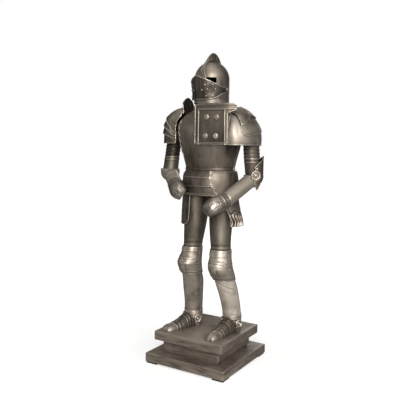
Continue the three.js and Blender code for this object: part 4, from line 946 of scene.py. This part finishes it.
def build_shoulders():
    def ball_relief(u, v, x, y, z):
        away = np.hypot((x + 66) / 14, (z - 507) / 16)
        ball = 3.2 * np.sqrt(np.clip(1 - away ** 2, 0, 1)) - 0.7 * bump(away, 1.02, 0.09)
        return ball * smooth(-y / 8)

    def haute(u, v):
        y = mix(-28, 16, u)
        return xyz(-50 - 2 * v, y, mix(512, 544 - 0.03 * (y + 8) ** 2, v))

    def wing_relief(u, v, x, y, z):
        return 1.2 * bump(u, 0.2, 0.12) * bump(v, 0.5, 0.4) - 0.8 * bump(u, 0.31, 0.06) * bump(v, 0.45, 0.4)

    def cap_edge(angle):
        return read(CAP_EDGE_LEFT, "z", angle)

    def lame_edge(angle):
        return read(LAME_EDGE_LEFT, "z", angle)

    for n in range(3):
        lame(f"lame_right_{3 - n}", "right", 150, 100, fan_edge(n),
             raised(fan_edge(n + 1), 2.5), wire=0.8, seed=40 + n)
    lame("cap_right", "right", 150, 110, fan_edge(3), level(526.6), 130, 60, wire=0.8,
         seed=43, relief=ball_relief)
    # The haute-piece takes the darker copy of the steel: painted shade on its inner face, which lies in
    # shade.
    shell("haute_piece_plate", haute, 48, 32, node="haute_piece_right", material=SHADED_STEEL, hand=-1, wall=1.5,
          rims="tlr", wire=1, seed=44, relief=lambda u, v, x, y, z: 0.6 * np.sin(u * 22) * smooth(v * 2))
    # The left pauldron's plates take the lighter copy of the steel: painted light.
    lame("wing_left", "left", 150, 120, level(450), raised(cap_edge, 3), 150, 60, 0,
         material=LIT_SHOULDER_STEEL, wire=1, seed=45, relief=wing_relief, dents=0.4)
    lame("lame_left", "left", 56, 60, lame_edge, raised(cap_edge, 3), 90, 40, 1.8, 0,
         material=LIT_SHOULDER_STEEL, wire=0.8, seed=46, dents=0.25)
    lame("cap_left", "left", 130, 120, cap_edge, level(520.4), 140, 60, 3.9, 0, material=LIT_SHOULDER_STEEL,
         seed=47, dents=0.3, relief=lambda u, v, x, y, z: bump(u, 0.46, 0.05) * smooth(v * 4))


def arm_axes(arm):
    """The forearm's own axes: along it, across it, and towards its upper side."""
    along = unit(np.subtract(arm["wrist"], arm["elbow"]))
    side = unit(np.cross(along, arm["palm"]))
    return along, side, unit(np.cross(side, along))


def arm_centre(arm, z):
    top, elbow = arm["shoulder"], arm["elbow"]
    t = (top[2] - z) / (top[2] - elbow[2])
    return xyz(mix(top[0], elbow[0], t), mix(top[1], elbow[1], t), z)


def curve_through(points, t):
    """Smooth curve through points, read at shares t of its length."""
    points = np.array(points, float)
    length = np.concatenate([[0], np.cumsum(np.linalg.norm(np.diff(points, axis=0), axis=1))])
    rows = {"s": length, "x": points[:, 0], "y": points[:, 1], "z": points[:, 2]}
    return xyz(*(read(rows, name, t * length[-1]) for name in "xyz"))


def build_upper_arm(side):
    """Ribbed sleeve, bent inwards at its top, and the plain tube between it and the elbow."""
    arm, sign = ARM[side], SIGN[side]
    ribs_top = arm_centre(arm, RIBS_TOP)
    end = (sign * SLEEVE_END[0], *SLEEVE_END[1:])
    bend = [ribs_top, (sign * 86.5, ribs_top[1], 480), (sign * 77, end[1], 489), end]
    ribbed = 0.75

    def sleeve(u, v):
        along = np.clip((v - ribbed) / (1 - ribbed), 0, 1)
        low = arm_centre(arm, mix(SLEEVE_BOTTOM, RIBS_TOP, np.minimum(v / ribbed, 1)))
        middle = np.where((v < ribbed)[..., None], low, curve_through(bend, along))
        tangent = unit(curve_through(bend, np.clip(along + 0.01, 0, 1))
                       - curve_through(bend, np.clip(along - 0.01, 0, 1)))
        tangent = unit(mix(np.array([0, 0, 1.0]), tangent, smooth(along)[..., None]))
        across = unit(np.cross(tangent, (0, -1.0, 0)))
        r, a = mix(arm["sleeve"] - 0.9, 14.4, along)[..., None], (u * ROUND)[..., None]
        return middle - across * r * np.sin(a) + np.cross(across, tangent) * r * np.cos(a)

    def ring_relief(u, v, x, y, z):
        lean = 0 if side == "left" else 2.2 * np.sin(u * ROUND)
        rings = np.abs(np.sin((z + lean) * math.pi / RIB_PITCH + 0.3 * np.sin(u * ROUND * 2)))
        return (2.6 * rings - 0.9) * smooth((0.8 - v) / 0.06)

    def upper(u, v):
        r, a = mix(arm["flare"], arm["sleeve"] + 0.4, v), u * ROUND
        rim = arm["elbow"][2] + arm["cup"] * CUP_RIM
        return arm_centre(arm, mix(rim - 3, SLEEVE_BOTTOM - GAP, v)) + xyz(r * np.sin(a), -r * np.cos(a), 0)

    # The left sleeve's lighter copy of the steel is painted light, the right sleeve's darker copy painted
    # shade.
    shell(f"ribbed_sleeve_{side}", sleeve, 72, 150, node=f"sleeve_{side}",
          material=LIT_SLEEVE_STEEL if side == "left" else SHADED_STEEL, loop=True, relief=ring_relief, seed=50 + sign)
    shell(f"rerebrace_plate_{side}", upper, 72, 30, node=f"rerebrace_{side}", loop=True, rims="t", wire=0.8,
          seed=53 + sign, relief=lambda u, v, x, y, z: 0.5 * bump(v, 0.8, 0.08) - 0.4 * bump(u, 0.5, 0.02))


def build_elbow(side):
    arm = ARM[side]
    elbow, along = np.array(arm["elbow"]), arm_axes(arm)[0]
    top = math.degrees(math.asin(CUP_RIM))

    def cup(u, v):
        a, e = u * ROUND, mix(-88, top, v) * DEG
        return elbow + arm["cup"] * xyz(np.cos(e) * np.cos(a), np.cos(e) * np.sin(a), np.sin(e))

    def forearm_hole(u, v):
        points = cup(u, v) - elbow
        forward = points @ along
        away = np.linalg.norm(points - forward[..., None] * along, axis=-1)
        return (forward > 0) & (away < arm["forearm"] - 3)

    def relief(u, v, x, y, z):
        return 0.9 * hanging_steps(v, [0.93], 1, 0.14) + 0.6 * bump(v, 0.6, 0.04)

    shell(f"elbow_cup_{side}", cup, 96, 72, node=f"couter_{side}", material=BRIGHT, loop=True, relief=relief,
          holes=forearm_hole, rims="t", wire=1, seed=56 + SIGN[side])
    turned(f"elbow_cup_point_{side}", [(0, -1.2), (1.6, -1.2), (1.4, 0.1), (0, 0.3)],
           elbow - (0, 0, arm["cup"] - 0.1), (0, 0, -1), None, BRIGHT)


def build_forearm(side):
    arm = ARM[side]
    elbow, wrist, hand = (np.array(arm[name], float) for name in ("elbow", "wrist", "hand"))
    along, across, fore = arm_axes(arm)
    length = np.linalg.norm(wrist - elbow)
    first = math.sqrt(arm["cup"] ** 2 - arm["forearm"] ** 2) + 0.6

    def tube_at(u, v):
        t, a = mix(first, length + 1.5, v), u * ROUND
        r = mix(arm["forearm"], arm["cuff"], smooth((t - length / 2) / (length / 2)))
        return elbow + xyz(t, r * np.sin(a), r * np.cos(a)) @ np.array([along, across, fore])

    def tube_relief(u, v, x, y, z):
        # the right elbow's lower lame bells out over the forearm
        bell = 4.6 * smooth((0.46 - v) / 0.05) * (0.55 + 0.45 * np.sin(math.pi * np.clip(v / 0.46, 0, 1)))
        return 0.7 * bump(v, 0.05, 0.05) - 0.4 * bump(u, 0.75, 0.02) + (bell if side == "right" else 0)

    # Both vambraces take the lighter copy of the steel: a painted highlight.
    shell(f"vambrace_plate_{side}", tube_at, 72, 48, node=f"vambrace_{side}", material=PAINTED_LIT_STEEL, loop=True,
          hand=-1, rims="b", wire=0.7, seed=60 + SIGN[side], relief=tube_relief)
    axis = unit(hand - wrist)
    reach = np.linalg.norm(hand - wrist) + 6
    palm = unit(arm["palm"] - axis * np.dot(arm["palm"], axis))
    lateral = np.cross(axis, palm)
    curl_from, curl, gap = 0.55, 75 * DEG, 38     # where the fingers start to curl, how far, the open palm

    def mitten(u, v):
        angle = mix(180 + gap, 540 - gap, u) * DEG
        turn = (np.maximum(0, v - curl_from) / (1 - curl_from) * curl)[..., None]
        bend = reach * (1 - curl_from) / curl
        centre = wrist + (np.minimum(v, curl_from)[..., None] * reach + bend * np.sin(turn)) * axis
        centre = centre + bend * (1 - np.cos(turn)) * palm
        up = np.sin(turn) * axis - np.cos(turn) * palm
        wide, tall = read(MITTEN, "wide", v), read(MITTEN, "tall", v)
        return centre + (wide * np.sin(angle))[..., None] * lateral + (tall * np.cos(angle))[..., None] * up

    def mitten_relief(u, v, x, y, z):
        knuckle = steps(v, [0.3], 0.7, 0.12) + 0.25 * steps(v, [0.5, 0.64, 0.78], 0.9, 0.12)
        fingers = -0.35 * (bump(u, 0.36, 0.04) + bump(u, 0.5, 0.04) + bump(u, 0.64, 0.04))
        return knuckle + fingers * smooth((v - 0.5) / 0.2) + 0.9 * bump(v, 0.03, 0.03)

    shell(f"gauntlet_plate_{side}", mitten, 96, 90, node=f"gauntlet_{side}", material=HAMMERED, hand=-1,
          relief=mitten_relief, rims="b", wire=0.8, seed=63 + SIGN[side], dents=0.45)


def build_elbow_wing():
    """Curved plate standing outside the left elbow, with the elbow's disc and a knob on it."""
    elbow = np.array(ARM["left"]["elbow"])
    reach = ARM["left"]["cup"] + GAP + SHEET
    facing, up = ELBOW_DISC["facing"], ELBOW_DISC["up"]

    def outwards(angle, distance, z):
        return elbow + xyz(distance * np.sin(angle * DEG), -distance * np.cos(angle * DEG), z)

    def wing(u, v):
        angle = mix(*ends(WING), u)
        return outwards(angle, reach, mix(read(WING, "low", angle), read(WING, "high", angle), v))

    def wing_relief(u, v, x, y, z):
        seam = z - elbow[2] + 6 - 8 * smooth((u - 0.05) / 0.3)
        return 0.9 * hanging_steps(seam, [0], 1, 6) * smooth((0.45 - u) / 0.1)

    shell("elbow_wing_left", wing, 110, 60, node="couter_wing_left", rims="lrbt", wire=0.8, seed=70,
          relief=wing_relief)
    knob = facing + 8
    stud(outwards(knob, reach + SHEET, up + 12.5), outwards(knob, 1, 0) - elbow, 2.8)
    rosette("elbow_rosette_left", outwards(facing, reach + GAP + 0.3, up), outwards(facing, 1, 0) - elbow,
            ELBOW_DISC["radius"], ELBOW_DISC["height"], "couter_disc_left")


# ------------------------------------------------------------------ what repeats: rolled edges and rivets


def grower(name, material, sizes, grow):
    """Node tree that grows pieces on a carrier mesh; grow(tree, carrier, sizes) gives their geometry."""
    tree = bpy.data.node_groups.new(name, "GeometryNodeTree")
    tree.interface.new_socket("Geometry", in_out="INPUT", socket_type="NodeSocketGeometry")
    for label, value in sizes.items():
        tree.interface.new_socket(label, in_out="INPUT", socket_type="NodeSocketInt").default_value = value
    tree.interface.new_socket("Geometry", in_out="OUTPUT", socket_type="NodeSocketGeometry")
    start = node_in(tree, "NodeGroupInput").outputs
    grown = grow(tree, start["Geometry"], start)
    soft = node_in(tree, "GeometryNodeSetShadeSmooth", {"Geometry": grown}).outputs[0]
    real = node_in(tree, "GeometryNodeRealizeInstances", {"Geometry": soft}).outputs[0]
    done = node_in(tree, "GeometryNodeSetMaterial", {"Geometry": real, "Material": material}).outputs[0]
    node_in(tree, "NodeGroupOutput", {0: done})
    return tree


def carried(tree, kind, label):
    """A value that each point of the carrier holds."""
    return node_in(tree, "GeometryNodeInputNamedAttribute", {"Name": label}, data_type=kind).outputs[0]


def swept_wire(tree, carrier, sizes):
    """A round wire along each edge, as thick as its 'wire' value."""
    radius = carried(tree, "FLOAT", "wire")
    line = node_in(tree, "GeometryNodeMeshToCurve", {0: carrier}).outputs[0]
    line = node_in(tree, "GeometryNodeSetCurveRadius", {"Curve": line, "Radius": radius}).outputs[0]
    ring = node_in(tree, "GeometryNodeCurvePrimitiveCircle", {"Resolution": sizes["Sides"], "Radius": 1})
    sweep = node_in(tree, "GeometryNodeCurveToMesh", {"Curve": line, "Profile Curve": ring.outputs["Curve"],
                                                      "Fill Caps": True})
    if "Scale" in sweep.inputs:
        tree.links.new(radius, sweep.inputs["Scale"])
    return sweep.outputs[0]


def domed_rivets(tree, carrier, sizes):
    """A domed head on each point, turned to its 'out' direction and sized by its 'size' value."""
    ball = node_in(tree, "GeometryNodeMeshUVSphere", {"Segments": sizes["Segments"], "Rings": sizes["Rings"],
                                                      "Radius": 1}).outputs["Mesh"]
    dome = node_in(tree, "GeometryNodeTransform", {"Geometry": ball, "Scale": (1, 1, 0.6)}).outputs[0]
    aim = node_in(tree, "FunctionNodeAlignRotationToVector", {"Vector": carried(tree, "FLOAT_VECTOR", "out")},
                  axis="Z").outputs[0]
    size = carried(tree, "FLOAT", "size")
    return node_in(tree, "GeometryNodeInstanceOnPoints", {"Points": carrier, "Instance": dome,
                                                          "Rotation": aim, "Scale": size}).outputs[0]


def grown(name, points, edges, values, tree, sizes, material, body):
    """Runs a tree on a carrier mesh and keeps the result as a plain mesh."""
    carrier = bpy.data.meshes.new(name + "_carrier")
    carrier.from_pydata([tuple(p * MM + PLACE) for p in points], edges, [])
    for label, (kind, field, numbers) in values.items():
        held = carrier.attributes.new(label, kind, "POINT")
        held.data.foreach_set(field, np.array(numbers, np.float32).ravel())
    holder = in_scene(name + "_carrier", carrier)
    grow = holder.modifiers.new("grow", "NODES")
    grow.node_group = tree
    for socket in tree.interface.items_tree:
        if socket.in_out == "INPUT" and socket.name in sizes:
            grow[socket.identifier] = sizes[socket.name]
    depsgraph = bpy.context.evaluated_depsgraph_get()
    mesh = bpy.data.meshes.new_from_object(holder.evaluated_get(depsgraph), depsgraph=depsgraph)
    bpy.data.objects.remove(holder)
    mesh.name = name
    for label, value in (("rub", 0.35), ("patina_and_shade", 0)):
        wear_and_shade_mask = mesh.attributes.new(label, "FLOAT", "POINT")
        wear_and_shade_mask.data.foreach_set("value", np.full(len(mesh.vertices), value, np.float32))
    mesh.materials.clear()
    finish_plate(in_scene(name, mesh), material, None, body)


def build_rolled_edges():
    sizes = {"Sides": 10}
    tree = grower("rolled wire edges", WIRE, sizes, swept_wire)
    for body, rims in RIMS.items():
        points, edges, wires = [], [], []
        for line, closed, radius in rims:
            first = len(points)
            points.extend(line)
            wires.extend([radius * MM] * len(line))
            edges.extend((k, k + 1) for k in range(first, len(points) - 1))
            if closed:
                edges.append((len(points) - 1, first))
        values = {"wire": ("FLOAT", "value", wires)}
        grown(f"rolled_edges_{body}", points, edges, values, tree, sizes, WIRE, body)


def build_rivets():
    for z in (357, 374, 390):
        for angle in (-62, 62, 118, 242):
            stud_on_oval(SKIRT, z, angle, 1.3, 0.9)
    for side, middle in (("right", 203), ("left", 200)):
        for angle in (75, -75):
            stud_on_oval(KNEE[side], middle, angle, 1.6, 0.6)
            stud_on_oval(KNEE[side], middle + 22, angle, 1.1, 0.4)
        for z in (120, 150):
            for angle in (95, -95):
                stud_on_oval(SHIN[side], z, angle, 1.1, 0.3)
    for z in (420, 440):
        for angle in (86, -86):
            stud_on_oval(TORSO, z, angle, 1.3)
    sizes = {"Segments": 12, "Rings": 6}
    tree = grower("domed rivets", BRIGHT, sizes, domed_rivets)
    for body, rivets in STUDS.items():
        places, directions, radii = zip(*rivets)
        values = {"out": ("FLOAT_VECTOR", "vector", directions),
                  "size": ("FLOAT", "value", [radius * MM for radius in radii])}
        grown(f"rivets_{body}", places, [], values, tree, sizes, BRIGHT, body)


# ------------------------------------------------------------------ stage


def build_floor():
    """Paper that glows softly, more so further out, so that it meets the backdrop without a line."""
    bpy.ops.mesh.primitive_plane_add(size=12, location=(0, 0, CAD_BOX[0][2]))
    floor = bpy.context.object
    floor.name = "studio_floor"
    paper = bpy.data.materials.new("studio paper")
    paper.use_nodes = True
    tree = paper.node_tree
    place = node_in(tree, "ShaderNodeTexCoord").outputs["Object"]
    far = node_in(tree, "ShaderNodeVectorMath", {0: place}, operation="LENGTH").outputs["Value"]
    glow = node_in(tree, "ShaderNodeMapRange", {"Value": far, "From Min": 0.15, "From Max": 0.7,
                                                "To Min": 0.62, "To Max": 1}).outputs[0]
    seen = node_in(tree, "ShaderNodeLightPath").outputs["Is Camera Ray"]
    shown = node_in(tree, "ShaderNodeMath", {0: glow, 1: seen}, operation="MULTIPLY").outputs[0]
    shader = tree.nodes["Principled BSDF"]
    shader.inputs["Base Color"].default_value = (0.4, 0.4, 0.4, 1)
    shader.inputs["Roughness"].default_value = 0.9
    shader.inputs["Emission Color"].default_value = (1, 1, 1, 1)
    tree.links.new(shown, shader.inputs["Emission Strength"])
    floor.data.materials.append(paper)


def build_room():
    world = bpy.data.worlds.new("studio")
    world.use_nodes = True
    tree = world.node_tree
    tree.nodes.clear()
    room = node_in(tree, "ShaderNodeBackground", {"Color": (1.0, 0.97, 0.93, 1), "Strength": 0.13}).outputs[0]
    backdrop = node_in(tree, "ShaderNodeBackground", {"Color": (1, 1, 1, 1), "Strength": 1}).outputs[0]
    seen = node_in(tree, "ShaderNodeLightPath").outputs["Is Camera Ray"]
    both = node_in(tree, "ShaderNodeMixShader", {0: seen, 1: room, 2: backdrop}).outputs[0]
    node_in(tree, "ShaderNodeOutputWorld", {"Surface": both})
    bpy.context.scene.world = world
    bpy.context.scene.view_settings.view_transform = "Standard"


def aimed(name, data, place, target, roll=0):
    """Puts a lamp or the camera at a place, looking at a target."""
    obj = in_scene(name, data)
    obj.location = place
    obj.rotation_mode = "QUATERNION"
    aim = (Vector(target) - Vector(place)).to_track_quat("-Z", "Y")
    obj.rotation_quaternion = aim @ Matrix.Rotation(roll, 3, "Z").to_quaternion()
    return obj


SOFTBOXES = (("key softbox", (0.78, -1.3, 0.92), (0, 0, 0.28), (0.5, 0.9), 31, (1, 0.97, 0.93)),
             ("side softbox", (-1.3, -0.9, 0.9), (0, 0, 0.25), (0.4, 0.7), 2.2, (1, 0.98, 0.95)),
             ("right softbox", (1.5, -0.45, 1.0), (0, 0, 0.4), (0.4, 0.7), 7, (1, 0.98, 0.95)),
             ("top softbox", (0.15, -0.3, 1.8), (0, 0, 0.3), (1.1, 1.1), 7, (1, 1, 1)),
             ("back softbox", (-0.3, 1.7, 1.0), (0, 0, 0.33), (0.8, 1.0), 6, (1, 1, 1)))
CAMERA = dict(azimuth=30.94, elevation=6.32, distance=1141, roll=1.09, lens=47.6, aside=-3.4, up=319.2)


def build_lights():
    for name, place, target, size, power, colour in SOFTBOXES:
        lamp = bpy.data.lights.new(name, "AREA")
        lamp.shape = "RECTANGLE"
        lamp.size, lamp.size_y = size
        lamp.energy = power
        lamp.color = colour
        aimed(name, lamp, place, target)


def build_camera():
    """Camera round the figure: azimuth from the front towards its left, with a slight roll."""
    a, e = CAMERA["azimuth"] * DEG, CAMERA["elevation"] * DEG
    target = np.array([CAMERA["aside"] * math.cos(a), CAMERA["aside"] * math.sin(a), CAMERA["up"]])
    back = np.array([math.sin(a) * math.cos(e), -math.cos(a) * math.cos(e), math.sin(e)])
    data = bpy.data.cameras.new("camera")
    data.lens, data.sensor_width = CAMERA["lens"], 36
    data.clip_start, data.clip_end = 0.01, 30
    bpy.context.scene.camera = aimed("camera", data, (target + back * CAMERA["distance"]) * MM + PLACE,
                                     target * MM + PLACE, CAMERA["roll"] * DEG)


build_camera()
build_floor()
build_room()
build_lights()
for seed, board in enumerate(BOARDS, 1):
    slab(*board, seed)
for which in SIGN:
    build_leg(which)
build_torso()
build_reinforce()
build_skirt()
build_head()
build_comb()
build_visor()
build_shoulders()
for which in SIGN:
    build_upper_arm(which)
    build_elbow(which)
    build_forearm(which)
build_elbow_wing()
build_rolled_edges()
build_rivets()

for label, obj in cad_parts.items():
    for start, material in (("base_pad_", FELT), ("visor_pin_", BRIGHT), ("reinforce_boss_", BRIGHT)):
        if label.startswith(start):
            obj.data.materials.clear()
            obj.data.materials.append(material)
